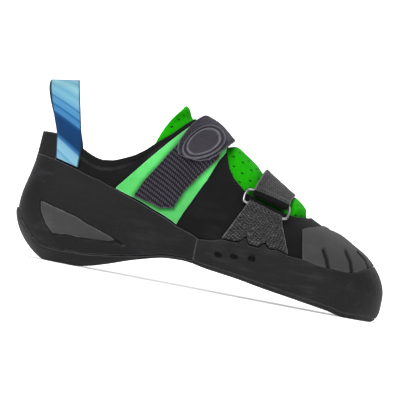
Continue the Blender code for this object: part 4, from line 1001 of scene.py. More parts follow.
WINDOW_RUBBER = Finish("heel window rubber", (0.054, 0.054, 0.055), (0.14, 0.14, 0.14),
    (0.036, 0.036, 0.037), roughness=0.8, relief=0.00016, grain=1700.0, rub_and_highlight=0.4, scuffs=0.2)
PATCH_RUBBER = Finish("toe patch rubber", (0.05, 0.05, 0.051), (0.1, 0.1, 0.102), (0.042, 0.042, 0.043),
    roughness=0.72, relief=0.00006, grain=1500.0, rub_and_highlight=0.15, scuffs=0.35)
WING_FABRIC = Finish("light green microfibre", (0.112, 0.645, 0.153), (0.27, 0.86, 0.32),
    (0.04, 0.4, 0.065), roughness=0.85, relief=0.00005, grain=1400.0, rub_and_highlight=0.4, scuffs=0.08, sheen=0.05,
    specular=0.08)
PAD_WEAVE = Finish("fastening weave", (0.036, 0.033, 0.044), (0.115, 0.108, 0.132), (0.006, 0.005, 0.008),
    roughness=0.9, relief=0.0001, pitch=2.5, stretch=0.68, angle=-38.0, fuzz=0.5, rope=1.0,
    weave_relief=0.0007, gap=0.85, rub_and_highlight=0.3, **CLOTH)
STRAP_WEAVE = Finish("strap weave", (0.043, 0.04, 0.053), (0.118, 0.111, 0.137), (0.014, 0.012, 0.018),
    roughness=0.88, relief=0.0001, pitch=1.5, angle=-40.0, fuzz=1.6, weave_relief=0.00025, gap=0.5,
    rub_and_highlight=0.4, **CLOTH)
BADGE_RUBBER = Finish("moulded badge", (0.055, 0.052, 0.064), (0.11, 0.105, 0.122), (0.03, 0.028, 0.036),
    roughness=0.55, relief=0.00003, rub_and_highlight=0.5, scuffs=0.15)
FRONT_WEAVE = Finish("brushed strap", (0.056, 0.055, 0.056), (0.13, 0.128, 0.13), (0.016, 0.016, 0.016),
    roughness=0.92, relief=0.00018, grain=1300.0, pitch=1.5, fuzz=2.4, weave_relief=0.00025, gap=0.3,
    rub_and_highlight=0.5, **CLOTH)
TAB_KNIT = Finish("looped knit", (0.05, 0.05, 0.051), (0.19, 0.19, 0.192), (0.009, 0.009, 0.009),
    roughness=0.93, relief=0.00028, grain=1150.0, pitch=1.6, angle=24.0, fuzz=2.6, rope=1.0,
    weave_relief=0.0005, gap=0.6, rub_and_highlight=0.5, **CLOTH)
RING_METAL = Finish("bright wire", (0.42, 0.42, 0.44), (0.6, 0.6, 0.62), (0.28, 0.28, 0.3), roughness=0.32,
    relief=0.00001, rub_and_highlight=0.0, scuffs=0.2, metallic=1.0)
RIB_WEBBING = Finish("ribbed webbing", (0.022, 0.022, 0.024), (0.065, 0.065, 0.068), (0.01, 0.01, 0.011),
    roughness=0.9, relief=0.00005, pitch=0.8, weave_relief=0.0002, gap=0.5, scuffs=0.0, specular=0.08)
THREAD = Finish("dark thread", (0.02, 0.02, 0.022), (0.06, 0.06, 0.064), (0.01, 0.01, 0.011), roughness=0.8,
    **SEWN)


# The pieces

SEAM_GAP = 0.00003
FLUSH = 0.0045


@dataclass
class Piece:
    """What every sub-assembly needs: the form, the finishes and the thread."""

    last: Last
    materials: dict[str, bpy.types.Material]
    stitcher: Stitcher

    def settle(self, made: Thing, finish: Finish, slot: str, *nodes: str) -> None:
        """Dress a piece and let it ride on the shoe.

        Args:
            made: the piece.
            finish: its finish.
            slot: the record's material slot; not used.
            nodes: the solids that it stands for.
        """
        made.data.materials.clear()
        made.data.materials.append(self.materials[finish.name])
        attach(made, "root")
        if nodes:
            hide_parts(*nodes)
        log.info("%s: %d faces, %s", made.name, len(made.data.polygons), finish.name)

    def sew(self, finish: Finish, spot: Grids, offset: Array | float, *sizes: float) -> None:
        """Sew along places and turns of the form, at an offset from it."""
        self.stitcher.sew(finish, self.last.skin(*spot, offset), self.last.normal(*spot), *sizes)

    @staticmethod
    def rubber_top(patch: Patch, share: float) -> Array:
        """Offset of a rubber sheet's outer side, its top edge rounded by a share."""
        top = CLEARANCE + RUBBER_WALL - share * rounding(patch.from_top, 0.0006)
        return top - 0.3 * rounding(patch.edge, 0.0004)

    def rubber_sides(self, patch: Patch, offset: Array, gap: float) -> list[Array]:
        """Outer and inner side of a rubber sheet, both cut off square at the sole's seam."""
        inner_turn = self.last.turn_at(patch.place, np.maximum(patch.seen[..., 1], 0.016))
        sides = [self.last.skin(patch.place, patch.turn, offset, True)]
        sides.append(self.last.skin(patch.place, inner_turn, CLEARANCE))
        for grid in sides:
            grid[[0, -1], :, 0] = SEAM_ALONG * LENGTH + gap - self.last.shift[0]
        return sides

    def strip(self, places: Array, low: Array | float, high: Array | float, shares: Array,
            ridge: Array | None = None) -> Patch:
        """Patch right round the form between two turns."""
        turn = low + (high - low) * shares
        return Patch(self.last, np.broadcast_to(places[:, None], turn.shape), turn, False, True, ridge)

    def rim_turn(self, places: Array, along: Array, drop: float = 0.0) -> Grids:
        """Where the upper is closed along its ridge, and the turn of its rim."""
        closed = along >= THROAT_END
        return closed, np.where(closed, 1.0, self.last.turn_at(places, edge(COLLAR, along) - drop))


@dataclass(frozen=True)
class Crease:
    """Soft trough across the upper, with a low ridge on each side."""

    line: tuple[Pair, ...]
    depth: float = 0.0005
    width: float = 0.0022

    def height(self, seen: Array) -> Array:
        """Offset that the crease adds at points seen from the side."""
        distance = near_line(seen, self.line)
        start = np.array(self.line[0])
        end = np.array(self.line[-1])
        reach = norm((end - start) * SCALE)
        from_ends = np.minimum(norm((seen - start) * SCALE), norm((seen - end) * SCALE))
        taper = step(from_ends / (0.35 * reach))
        trough = -bump(distance, self.width) + 0.35 * bump(distance - 2.1 * self.width, self.width)
        return self.depth * trough * taper


@dataclass
class UpperBody(Piece):
    """The hollow body of the shoe with its collar padding and creases."""

    collar_pad: float = 0.0007
    pad_reach: float = 0.0052
    seam_depth: float = 0.0007
    binding: float = 0.0022
    outer_creases: tuple[Crease, ...] = (
        Crease(((0.3, 0.69), (0.262, 0.56), (0.25, 0.47)), 0.0005, 0.003),
        Crease(((0.235, 0.7), (0.215, 0.62)), 0.0004, 0.0024),
        Crease(((0.505, 0.78), (0.5, 0.56), (0.512, 0.33)), 0.0007, 0.0036),
        Crease(((0.545, 0.6), (0.535, 0.4), (0.545, 0.26)), 0.0005, 0.003),
        Crease(((0.47, 0.42), (0.49, 0.26)), 0.0004, 0.0026),
        Crease(((0.735, 0.5), (0.722, 0.4), (0.728, 0.3)), 0.0004, 0.0024),
    )
    inner_creases: tuple[Crease, ...] = (
        Crease(((0.3, 0.69), (0.262, 0.56), (0.25, 0.47)), 0.0005, 0.003),
        Crease(((0.56, 0.6), (0.545, 0.4), (0.555, 0.26)), 0.0007, 0.0034),
        Crease(((0.47, 0.74), (0.46, 0.52), (0.475, 0.32)), 0.0006, 0.0034),
        Crease(((0.4, 0.8), (0.365, 0.6), (0.36, 0.42)), 0.0005, 0.003),
        Crease(((0.735, 0.5), (0.722, 0.4), (0.728, 0.3)), 0.0004, 0.0024),
    )

    def build(self) -> None:
        """Build the body."""
        places, along = whole_round(self.last, 280)
        closed, high = self.rim_turn(places, along)
        length = norm(self.last.form(places, high) - self.last.form(places, -0.6)) * 1.15
        shares = graded(length, 42, 0.0009)
        at_seam = 1 - (self.pad_reach + np.linspace(-0.0012, 0.0016, 9)) / length[:, None]
        shares = np.sort(np.concatenate([shares, at_seam], axis=1), axis=1)
        body = self.strip(places, -0.6, high[:, None], shares, closed)
        outer, deep = self.outer_offset(body, along)
        # The lighter rim (rubbed wear and painted highlight) also follows a line just below the collar
        # seam; painted shade darkens the seam and the binding.
        line = 0.42 * np.abs(body.from_top - self.pad_reach - 0.0007)
        line = line + 0.9 * step((along[:, None] - 0.36) / 0.06)
        fields = {"deep": deep, "edge": np.minimum(body.edge, line) / MM}
        made = body.solid("upper_body", outer, -UPPER_WALL, fields)
        self.settle(made, MICROFIBRE, "upper", "upper")

    def outer_offset(self, body: Patch, along: Array) -> Grids:
        """Outer side of the body: padding at the collar, its seam, the throat's binding and the creases,
        with the painted shade for the seam and binding grooves.
        """
        top = body.from_top
        at_collar = (1 - step((along - 0.36) / 0.06))[:, None]
        at_throat = (step((along - 0.41) / 0.02) * (1 - step((along - 0.775) / 0.01)))[:, None]
        offset = self.collar_pad * at_collar * (bump(top - 0.5 * self.pad_reach, 0.45 * self.pad_reach))
        seam = bump(top - self.pad_reach, 0.0006) * at_collar
        tape = bump(top - self.binding, 0.0004) * at_throat
        offset = offset - self.seam_depth * (seam + 0.8 * tape)
        offset = offset + 0.0003 * at_throat * bump(top - 0.5 * self.binding, 0.5 * self.binding)
        on_outer = body.place < 0
        for side, creases in ((on_outer, self.outer_creases), (~on_outer, self.inner_creases)):
            for crease in creases:
                offset = offset + np.where(side, crease.height(body.seen), 0.0)
        free = step((body.seen[..., 1] - 0.25) / 0.1)
        offset = offset + 0.00012 * lumps(body.flat, 0.034, 1.3) * free
        offset = offset - rounding(top, 0.0008)
        covered = step((0.235 - body.seen[..., 1]) / 0.05)
        offset = offset * (1 - covered) + np.minimum(offset, 0.0) * covered
        return offset, np.clip(0.8 * seam + 0.6 * tape, 0, 1)


@dataclass
class Insole(Piece):
    """Footbed on the upper's margin, dished under the heel and the ball."""

    dish: float = 0.0006

    def build(self) -> None:
        """Build the footbed."""
        places, _ = whole_round(self.last, 220)
        shares = graded(np.full(places.shape, 0.03), 12, 0.0008)
        bed = self.strip(places, -1.0, -0.46, shares)
        low = -(UPPER_WALL + CLEARANCE)
        rim = rounding(bed.up_arc[:, -1:] - bed.up_arc, 0.0008)
        top = low - INSOLE_THICKNESS + rim + self.dish * (1 - step((bed.turn + 0.9) / 0.4)) * 0.5
        made = bed.solid("footbed", np.where(bed.turn < -0.62, -0.0004, low), top)
        self.settle(made, FOOTBED, "insole", "insole")


@dataclass
class Soles(Piece):
    """Heel band round the back up to the seam, and the half sole in front of it."""

    floor_rows: int = 5

    def build(self) -> None:
        """Build both pieces."""
        back = round_heel(self.last, SEAM_ALONG, 200)
        self.piece("heel_band_rubber", back, HEEL_BAND_WALL, -SEAM_GAP, "heel_band")
        front = round_toe(self.last, SEAM_ALONG, 300)
        self.piece("half_sole", front, RUBBER_WALL + CLEARANCE, SEAM_GAP, "outsole")

    def piece(self, name: str, where: Grids, wall: float, past_seam: float, node: str) -> None:
        """Build one sole piece.

        Args:
            name: its name.
            where: its places and how far along they are.
            wall: how far its side stands off the form.
            past_seam: where it ends, from the seam.
            node: the solid that it stands for.
        """
        places, along = where
        last = self.last

        def floor_at(points: Array) -> Array:
            """Height of the underside below points."""
            return last.underside(points[..., 0] + last.shift[0])

        line = edge(SOLE_LINE, along)
        top = last.turn_at(places, line, rubber=True)
        tuck = last.turn_at(places, np.maximum(line, 0.01))
        inner = [last.skin(places, np.minimum(turn, tuck), CLEARANCE) for turn in np.linspace(-1.0, 0.0,
            18)]
        outer = []
        for share in chain([0.0, 0.012, 0.035, 0.07], np.linspace(0.12, 0.93, 15)):
            lift = wall + CLEARANCE - rounding(share * 0.012, 0.0007)
            outer.append(last.skin(places, top + (-1 - top) * share, lift, rubber=True))
        grid = np.stack(inner + outer, axis=1)
        start = len(inner)
        grid[:, start:, 2] = np.maximum(grid[:, start:, 2], floor_at(grid[:, start:]))
        centre = grid[:, :1].copy()
        inwards = np.linspace(0, 1, self.floor_rows + 1)[1:]
        floor = [grid[:, -1:] * (1 - share) + centre * share for share in inwards]
        for rows in floor:
            rows[..., 2] = floor_at(rows)
        grid = np.concatenate([grid, *floor], axis=1)
        grid[[0, -1], :, 0] = SEAM_ALONG * LENGTH + past_seam - last.shift[0]
        count, rows = grid.shape[:2]
        index = np.arange(count * rows).reshape(count, rows)
        closing = np.stack([index[:-1, -1], index[1:, -1], index[1:, 0], index[:-1, 0]], axis=1)
        faces = chain(faces_of_grid(count, rows), closing).tolist()
        faces += [index[0, ::-1].tolist(), index[-1].tolist()]
        near = norm(grid - grid[:, start : start + 1]) / MM
        made = make_object(name, grid.reshape(-1, 3), faces, {"edge": near.ravel()}, 42.0)
        self.settle(made, SOLE_RUBBER, node, node)


WINDOW_LOW = ((0.054, 0.372), (0.06, 0.3), (0.077, 0.225), (0.101, 0.162), (0.136, 0.173), (0.195, 0.166),
    (0.226, 0.146), (0.266, 0.108), (0.288, 0.0845))
WINDOW_HIGH = ((0.054, 0.377), (0.111, 0.339), (0.158, 0.308), (0.205, 0.245), (0.25, 0.172),
    (0.274, 0.124), (0.291, 0.0875))
WINDOW_TIP = ((0.268, 0.106), (0.303, 0.07))
VENTS = ((0.548, 0.084), (0.59, 0.107), (0.637, 0.133))
SLITS = (
    (((0.843, 0.24), (0.832, 0.305), (0.82, 0.354)), 0.0009),
    (((0.907, 0.262), (0.897, 0.346), (0.88, 0.402)), 0.0009),
    (((0.955, 0.3), (0.935, 0.385), (0.912, 0.427)), 0.0005),
)
PATCH_TOP = columns(
    ("along", "up"),
    (0.76, 0.453), (0.776, 0.482), (0.807, 0.52),
)


def lap(table: Table, along: Array) -> Array:
    """Height at which a piece starts that leaves the clearance above an edge."""
    return edge(table, along) + 2 * CLEARANCE / INSTEP_HEIGHT


@dataclass
class HeelCup(Piece):
    """Rubber over the heel with a recessed grey insert on each side."""

    recess: float = 0.0011
    lip: float = 0.0007
    skive: float = 0.0006

    def build(self) -> None:
        """Build the cup and both inserts."""
        places, along = round_heel(self.last, SEAM_ALONG, 280)
        low = lap(SOLE_LINE, along) - FLUSH
        cup = belt(self.last, places, low, edge(HEEL_CUP_TOP, along), 44, 0.0007, rubber=True)
        ring = list(WINDOW_LOW) + list(WINDOW_HIGH[::-1])
        depth = inside(cup.seen, ring)
        sunk = step((depth + 0.0004) / self.lip)
        offset = self.rubber_top(cup, 0.5)
        thinned = self.skive * bump(cup.from_top, 0.006) * np.clip(cup.seen[..., 0] / 0.1, 0.0, 1.0)
        offset = offset - self.recess * sunk - thinned
        line = bump(near_line(cup.seen, WINDOW_TIP), 0.0004) * step((0.306 - cup.seen[..., 0]) / 0.01)
        line = line + 0.6 * bump(depth + 0.0016, 0.0005)
        offset = offset + 0.00022 * line + 0.0001 * lumps(cup.flat, 0.03, 0.4)
        offset = np.maximum(offset, CLEARANCE + 0.0004)
        # The lighter rim (rubbed wear and painted highlight) also runs along the window's tip line and the
        # ridge round the window; painted shade darkens the edge of the window's recess.
        tip = near_line(cup.seen, WINDOW_TIP) + 0.0006 * step((cup.seen[..., 0] - 0.296) / 0.004)
        worn_and_lit = np.minimum(cup.edge, np.minimum(tip, np.abs(depth + 0.0016) + 0.0005))
        fields = {"deep": 0.8 * bump(depth - 0.0001, 0.0005), "edge": worn_and_lit / MM}
        made = cup.between("heel_cup_rubber", self.rubber_sides(cup, offset, -SEAM_GAP), fields)
        self.settle(made, CUP_RUBBER, "heel_cup", "heel_cup")
        for side, label in ((Side.OUTER, "outer"), (Side.INNER, "inner")):
            self.window(side, label)

    def window(self, side: Side, label: str) -> None:
        """Build one insert."""
        patch = side_patch(self.last, resample(WINDOW_LOW, 90), resample(WINDOW_HIGH, 90), 26, 0.0006, side)
        offset = 0.0015 - 0.9 * rounding(patch.edge, 0.0006) + 0.00012 * lumps(patch.flat, 0.0021, 0.8)
        made = patch.solid("heel_window_" + label + "_insert", offset, 0.0005)
        self.settle(made, WINDOW_RUBBER, "heel_window", "heel_window_" + label)


@dataclass
class Rand(Piece):
    """Rubber round the front with two peaks over the ring tab and three vents."""

    vent_length: float = 0.0054
    vent_width: float = 0.0034

    def build(self) -> None:
        """Build the rand."""
        near_vents = np.concatenate([np.linspace(at - 0.016, at + 0.016, 26) for at, _ in VENTS])
        places, along = round_toe(self.last, SEAM_ALONG, 240, near_vents)
        high = np.where(places < 0, edge(RAND_TOP, along), edge(RAND_TOP_INNER, along))
        rand = belt(self.last, places, lap(SOLE_LINE, along) - FLUSH, high, 38, 0.0007, rubber=True)
        offset = self.rubber_top(rand, 0.8)
        vent = np.full(offset.shape, np.inf)
        for at, up in VENTS:
            x = (rand.seen[..., 0] - at) * LENGTH / (self.vent_length / 2)
            z = (rand.seen[..., 1] - up) * INSTEP_HEIGHT / (self.vent_width / 2)
            vent = np.minimum(vent, np.sqrt(x**2 + z**2))
        # Painted shade: the vents are sunk and darkened inside.
        hole = (1 - step((vent - 0.75) / 0.3)) * (rand.place < 0)
        rim = bump(vent - 1.15, 0.16) * (rand.place < 0)
        offset = offset - 0.0012 * hole + 0.00012 * rim + 0.00009 * lumps(rand.flat, 0.027, 2.2)
        toe = bump(rand.seen[..., 0] - 0.93, 0.05)
        offset = offset - 0.00012 * toe * (lumps(rand.flat, 0.006, 0.3) > 0.35)
        made = rand.between("rand_rubber", self.rubber_sides(rand, offset, SEAM_GAP), {"deep": 0.9 * hole})
        self.settle(made, RAND_RUBBER, "rand", "rand")


@dataclass
class ToePatch(Piece):
    """Grey rubber over the toe box, slit near the rand on both sides."""

    def build(self) -> None:
        """Build the patch."""
        places, along = round_toe(self.last, PATCH_TOP["along"][0], 340)
        low = np.where(places < 0, lap(RAND_TOP, along), lap(RAND_TOP_INNER, along)) - FLUSH
        to_ridge = step((along - 0.807) / 0.022)
        top_turn = self.last.turn_at(places, edge(PATCH_TOP, along))
        ridge = along > 0.829
        low_turn = self.last.turn_at(places, low)
        high_turn = np.where(ridge, 1.0, top_turn + (1 - top_turn) * to_ridge)
        length = norm(self.last.form(places, high_turn) - self.last.form(places, low_turn)) * 1.1
        shares = graded(length, 28, 0.0006)
        turn = low_turn[:, None] + (high_turn - low_turn)[:, None] * shares
        lean = 0.01 * (1 - 1.5 * shares) * np.clip(1 - (along - along[0]) / 0.08, 0, 1)[:, None]
        moved = [
            self.last.place_at(along[:, None] + lean, side) - self.last.place_at(along, side)[:, None]
            for side in (-1, 1)
        ]
        place = places[:, None] + np.where(places[:, None] < 0, *moved)
        patch = Patch(self.last, place, turn, False, False, ridge)
        offset = 0.0005 + RUBBER_WALL - 0.8 * rounding(patch.edge, 0.0006)
        behind = (1 - step((along - 0.812) / 0.03))[:, None]
        offset = offset - 0.0008 * bump(patch.from_top, 0.007) * behind
        deep = np.zeros(turn.shape)
        # The slits are sunk and darkened with painted shade.
        for line, half in SLITS:
            gap = near_line(patch.seen, line)
            deep = np.maximum(deep, 1 - step((gap - 1.1 * half) / (0.6 * half)))
        offset = offset - 0.0011 * deep + 0.0001 * lumps(patch.flat, 0.024, 1.1)
        made = patch.solid("toe_patch_rubber", offset, 0.0005, {"deep": 0.97 * deep})
        self.settle(made, PATCH_RUBBER, "toe_patch", "toe_patch")


WING = columns(
    ("along", "low", "high"),
    (0.244, 0.52, 0.53), (0.307, 0.411, 0.69), (0.363, 0.308, 0.83), (0.421, 0.211, 0.962),
    (0.434, 0.3, 0.958), (0.45, 0.39, 0.942), (0.48, 0.57, 0.9), (0.5, 0.73, 0.862),
    (0.514, 0.805, 0.84),
)
PAD = columns(
    ("along", "low", "high"),
    (0.297, 0.437, 0.452), (0.314, 0.414, 0.54), (0.34, 0.374, 0.635), (0.371, 0.33, 0.758),
    (0.405, 0.323, 0.868), (0.426, 0.456, 0.862), (0.453, 0.558, 0.838), (0.497, 0.738, 0.775),
)
WING_OFFSET = 0.0005
WING_THICKNESS = 0.0008
PAD_OFFSET = WING_OFFSET + WING_THICKNESS + 0.0004
PAD_THICKNESS = 0.001
STRAP_LOW = PAD_OFFSET + PAD_THICKNESS + CLEARANCE
STRAP_THICKNESS = 0.0018


@dataclass
class WingAndPad(Piece):
    """Light band on the outer quarter, and the fastening pad sewn on it."""

    def quarter(self, table: Table, count: int, rows: int) -> Patch:
        """Patch between a table's lower and upper edge on the outer side."""
        along = np.linspace(table["along"][0], table["along"][-1], count)
        along = np.unique(chain(along, table["along"]))
        lines = [np.stack([along, np.interp(along, table["along"], table[name])],
            axis=1) for name in ("low", "high")]
        return side_patch(self.last, *lines, rows, 0.0005, Side.OUTER)

    def build(self) -> None:
        """Build both."""
        wing = self.quarter(WING, 150, 60)
        fold = 0.0001 * lumps(wing.flat, 0.02, 0.9)
        offset = WING_OFFSET + WING_THICKNESS + fold - 0.7 * rounding(wing.edge, 0.0005)
        offset = offset - 0.00012 * bump(wing.edge - 0.0016, 0.0003)
        # Painted shade on the wing: darker towards its bottom as light falls from above, unevenly darker in
        # patches, and a painted shadow round the pad.
        shade = 0.3 * step((0.72 - wing.seen[..., 1]) / 0.5) + 0.12 * np.abs(lumps(wing.flat, 0.03, 0.9))
        rim = [*zip(PAD["along"], PAD["low"]), *zip(PAD["along"][::-1], PAD["high"][::-1])]
        shade = shade + 0.5 * step((inside(wing.seen, rim) + 0.0036) / 0.0036)
        fields = {"cloth": from_side(wing), "deep": np.clip(shade, 0.0, 1.0)}
        made = wing.solid("wing_panel", offset, WING_OFFSET, fields)
        self.settle(made, WING_FABRIC, "wing", "wing")
        pad = self.quarter(PAD, 130, 56)
        offset = PAD_OFFSET + PAD_THICKNESS + 0.00012 * lumps(pad.flat, 0.012, 0.4)
        offset = offset - rounding(pad.edge, 0.0007)
        offset = offset - 0.0002 * bump(pad.edge - 0.0017, 0.0004)
        made = pad.solid("fastening_pad", offset, PAD_OFFSET, {"cloth": from_side(pad)})
        self.settle(made, PAD_WEAVE, "hook_pad", "hook_pad")


class Stitcher:
    """Collects stitches as small bent capsules and joins each colour's into one mesh."""

    sides: int = 6
    profile: tuple[float, ...] = (0.0, 0.62, 0.95, 1.0, 0.95, 0.62, 0.0)

    def __init__(self) -> None:
        """Start without stitches."""
        self.points: dict[str, list[Array]] = {}

    def sew(self, finish: Finish, path: Array, normals: Array, pitch: float = 0.0027,
            length: float = 0.0019, radius: float = 0.00026) -> None:
        """Sew along a path.

        Args:
            finish: the thread.
            path: points of the line on the cloth, in metres.
            normals: the cloth's normals there.
            pitch: from one stitch to the next.
            length: length of a stitch.
            radius: of the thread.
        """
        reach = run_of(path)
        starts = np.arange(pitch / 2, reach[-1] - length, pitch)
        if not len(starts):
            return
        shares = np.linspace(0, 1, len(self.profile))
        at = starts[:, None] + length * shares
        centre = np.stack([np.interp(at, reach, path[:, i]) for i in range(3)], axis=-1)
        up = unit(np.stack([np.interp(at, reach, normals[:, i]) for i in range(3)], axis=-1))
        arch = radius * (0.9 * np.sin(shares * math.pi) - 0.55)
        centre = centre + up * arch[None, :, None]
        along = unit(np.gradient(centre, axis=1))
        side = np.cross(along, up)
        angle = np.arange(self.sides) * 2 * math.pi / self.sides
        girth = radius * np.array(self.profile)
        ring = np.cos(angle)[:, None] * side[:, :, None] + np.sin(angle)[:, None] * up[:, :, None]
        capsule = centre[:, :, None] + girth[None, :, None, None] * ring
        self.points.setdefault(finish.name, []).append(capsule)

    def objects(self) -> dict[str, Thing]:
        """One object for each thread."""
        made = {}
        for name, groups in self.points.items():
            capsules = np.concatenate(groups)
            count, rings, sides = capsules.shape[:3]
            one = faces_of_grid(rings, sides + 1)
            one = one // (sides + 1) * sides + one % (sides + 1) % sides
            start = np.arange(count)[:, None, None] * rings * sides
            faces = (one + start).reshape(-1, 4).tolist()
            points = capsules.reshape(-1, 3)
            fields = {"edge": np.full(len(points), 5.0)}
            made[name] = make_object("stitches_" + name.replace(" ", "_"), points, faces, fields, 180.0)
        return made


TONGUE_LIFT = columns(
    ("along", "up"),
    (0.38, 1.2), (0.398, 1.75), (0.412, 1.55), (0.428, 0.6), (0.44, 0.0), (0.51, 0.0), (0.528, 0.9),
    (0.545, 1.35), (0.56, 1.15), (0.575, 1.0), (0.603, 0.9), (0.622, 0.5), (0.64, 0.2), (0.706, 0.2),
    (0.722, 1.35), (0.735, 1.5), (0.748, 1.45), (0.758, 1.3), (0.768, 1.0), (0.775, 0.5), (0.78, 0.0),
)


@dataclass
class Tongue(Piece):
    """Padded perforated sheet that swells up through the throat."""

    puff: float = 0.003
    ease: float = 0.0005
    corner: float = 2.6
    gap: Pair = (0.07, 0.012)
    rise: Pair = (0.11, 0.035)

    def build(self) -> None:
        """Build the tongue."""
        across = np.linspace(-1, 1, 97)[:, None]
        share = np.linspace(0, 1, 184)[None, :]
        start = 0.383 - 0.075 * np.abs(across) ** self.corner
        along = start + (0.8 - start) * share
        last = self.last
        place = np.where(across < 0, last.place_at(along, -1), last.place_at(along, 1))
        low = last.turn_at(place, edge(COLLAR, along) - 0.1)
        turn = 1 - (1 - low) * np.abs(across)
        sheet = Patch(last, place, turn)
        front = step((along - 0.7) / 0.03)
        behind = bump(along - 0.42, 0.03)
        gap = (self.gap[0] + (self.gap[1] - self.gap[0]) * front) * (1 - 0.7 * behind)
        rise = (self.rise[0] + (self.rise[1] - self.rise[0]) * front) * (1 - 0.4 * behind)
        opened = step((sheet.seen[..., 1] - edge(COLLAR, along) - gap) / rise)
        lift = opened * smooth(along, TONGUE_LIFT["along"], TONGUE_LIFT["up"])
        top = -(UPPER_WALL + CLEARANCE + self.ease) + self.puff * lift
        soft = 0.0002 * lumps(sheet.flat, 0.016, 0.7) * lift
        top = top + soft - 0.9 * rounding(sheet.edge, 0.001)
        # Painted shadow: on the outer side, under the ring, the tongue is darkened almost to black.
        bar = np.interp(along, [p[0] for p in RING_TOP], [p[1] for p in RING_TOP])
        shaded = step((bar + 0.06 - sheet.seen[..., 1]) / 0.02) * step((along - 0.592) / 0.01)
        shaded = shaded * (1 - step((along - 0.698) / 0.01)) * (place < 0)
        bottom = top - TONGUE_THICKNESS + 1.8 * rounding(sheet.edge, 0.001)
        made = sheet.solid("tongue_padding", top, bottom, {"deep": 0.95 * shaded})
        self.settle(made, TONGUE_KNIT, "tongue", "tongue")


STRAP_COLUMNS = ("down", "back", "back_up", "front", "front_up")
MAIN_TOP = (
    (0.0, 0.443, 9.0, 0.528, 9.0), (0.15, 0.426, 0.975, 0.526, 0.874),
    (0.38, 0.402, 0.905, 0.519, 0.855), (0.66, 0.385, 0.812, 0.504, 0.8),
)
MAIN_STRAP = columns(
    STRAP_COLUMNS, *MAIN_TOP,
    (0.84, 0.385, 0.755, 0.489, 0.744), (0.93, 0.391, 0.716, 0.474, 0.7),
    (1.0, 0.403, 0.698, 0.452, 0.676),
)
MAIN_STRAP_INNER = columns(
    STRAP_COLUMNS, *MAIN_TOP,
    (1.0, 0.366, 0.7, 0.487, 0.685), (1.4, 0.346, 0.57, 0.467, 0.55),
)
FRONT_TOP = (
    (0.0, 0.628, 9.0, 0.718, 9.0), (0.2, 0.625, 0.75, 0.717, 0.651),
    (0.5, 0.617, 0.695, 0.714, 0.64), (1.0, 0.606, 0.592, 0.704, 0.565),
)
FRONT_STRAP = columns(
    STRAP_COLUMNS, *FRONT_TOP,
    (1.15, 0.603, 0.555, 0.701, 0.528),
)
FRONT_STRAP_INNER = columns(
    STRAP_COLUMNS, *FRONT_TOP,
    (1.6, 0.592, 0.46, 0.695, 0.43), (2.4, 0.578, 0.29, 0.688, 0.285),
)
RING_WIRE = 0.0017
RING_PAST = 0.0019
WEB_THICKNESS = 0.0011
TAB_LAYER = 0.0009
RING_TOP = ((0.604, 0.596), (0.694, 0.57))
TAB_TOP = ((0.598, 0.498), (0.692, 0.47))
TAB_FOOT = (0.549, 0.729)
BAR_OFFSET = CLEARANCE + WEB_THICKNESS + CLEARANCE + RING_WIRE / 2


@dataclass
class StrapCourse:
    """Where a strap runs: its back and front edge from the inner side over the ridge to the outer side."""

    last: Last
    outer: Table
    inner: Table

    def line(self, downs: Array, name: str) -> Grids:
        """Along and turn of one edge at each down, above 0 on the outer side."""
        along = np.zeros(downs.shape)
        turn = np.zeros(downs.shape)
        for table, side, here in ((self.outer, -1, downs >= 0), (self.inner, 1, downs < 0)):
            ups = np.minimum(table[name + "_up"], 8.0)
            turns = self.last.turn_at(self.last.place_at(table[name], side), ups)
            along = np.where(here, np.interp(np.abs(downs), table["down"], table[name]), along)
            turn = np.where(here, np.interp(np.abs(downs), table["down"], turns), turn)
        return along, turn

    def locate(self, downs: Array, share: Array) -> Grids:
        """Place and turn at a down and a share across from the back edge to the front edge."""
        downs, share = np.broadcast_arrays(downs, share)
        back, back_turn = self.line(downs, "back")
        front, front_turn = self.line(downs, "front")
        along = back + (front - back) * share
        turn = back_turn + (front_turn - back_turn) * share
        place = np.where(downs >= 0, self.last.place_at(along, -1), self.last.place_at(along, 1))
        return place, turn


def from_side(patch: Patch) -> Array:
    """Cloth lengths in millimetres as seen from the side, so that a weave keeps its angles."""
    flat = np.stack([patch.seen[..., 0] * LENGTH, patch.seen[..., 1] * INSTEP_HEIGHT, 0 * patch.place],
        axis=-1)
    return flat / MM


def edge_lines(patch: Patch, offset: Array, inset: float) -> list[Grids]:
    """Paths with normals that follow a patch's two long edges at an inset."""
    found = []
    for far in (False, True):
        reach = patch.up_arc[:, -1:] - patch.up_arc if far else patch.up_arc
        column = np.argmin(np.abs(reach - inset), axis=1)
        rows = np.arange(len(column))
        place = patch.place[rows, column]
        turn = patch.turn[rows, column]
        path = patch.last.skin(place, turn, offset[rows, column], patch.rubber)
        found.append((path, patch.last.normal(place, turn)))
    return found


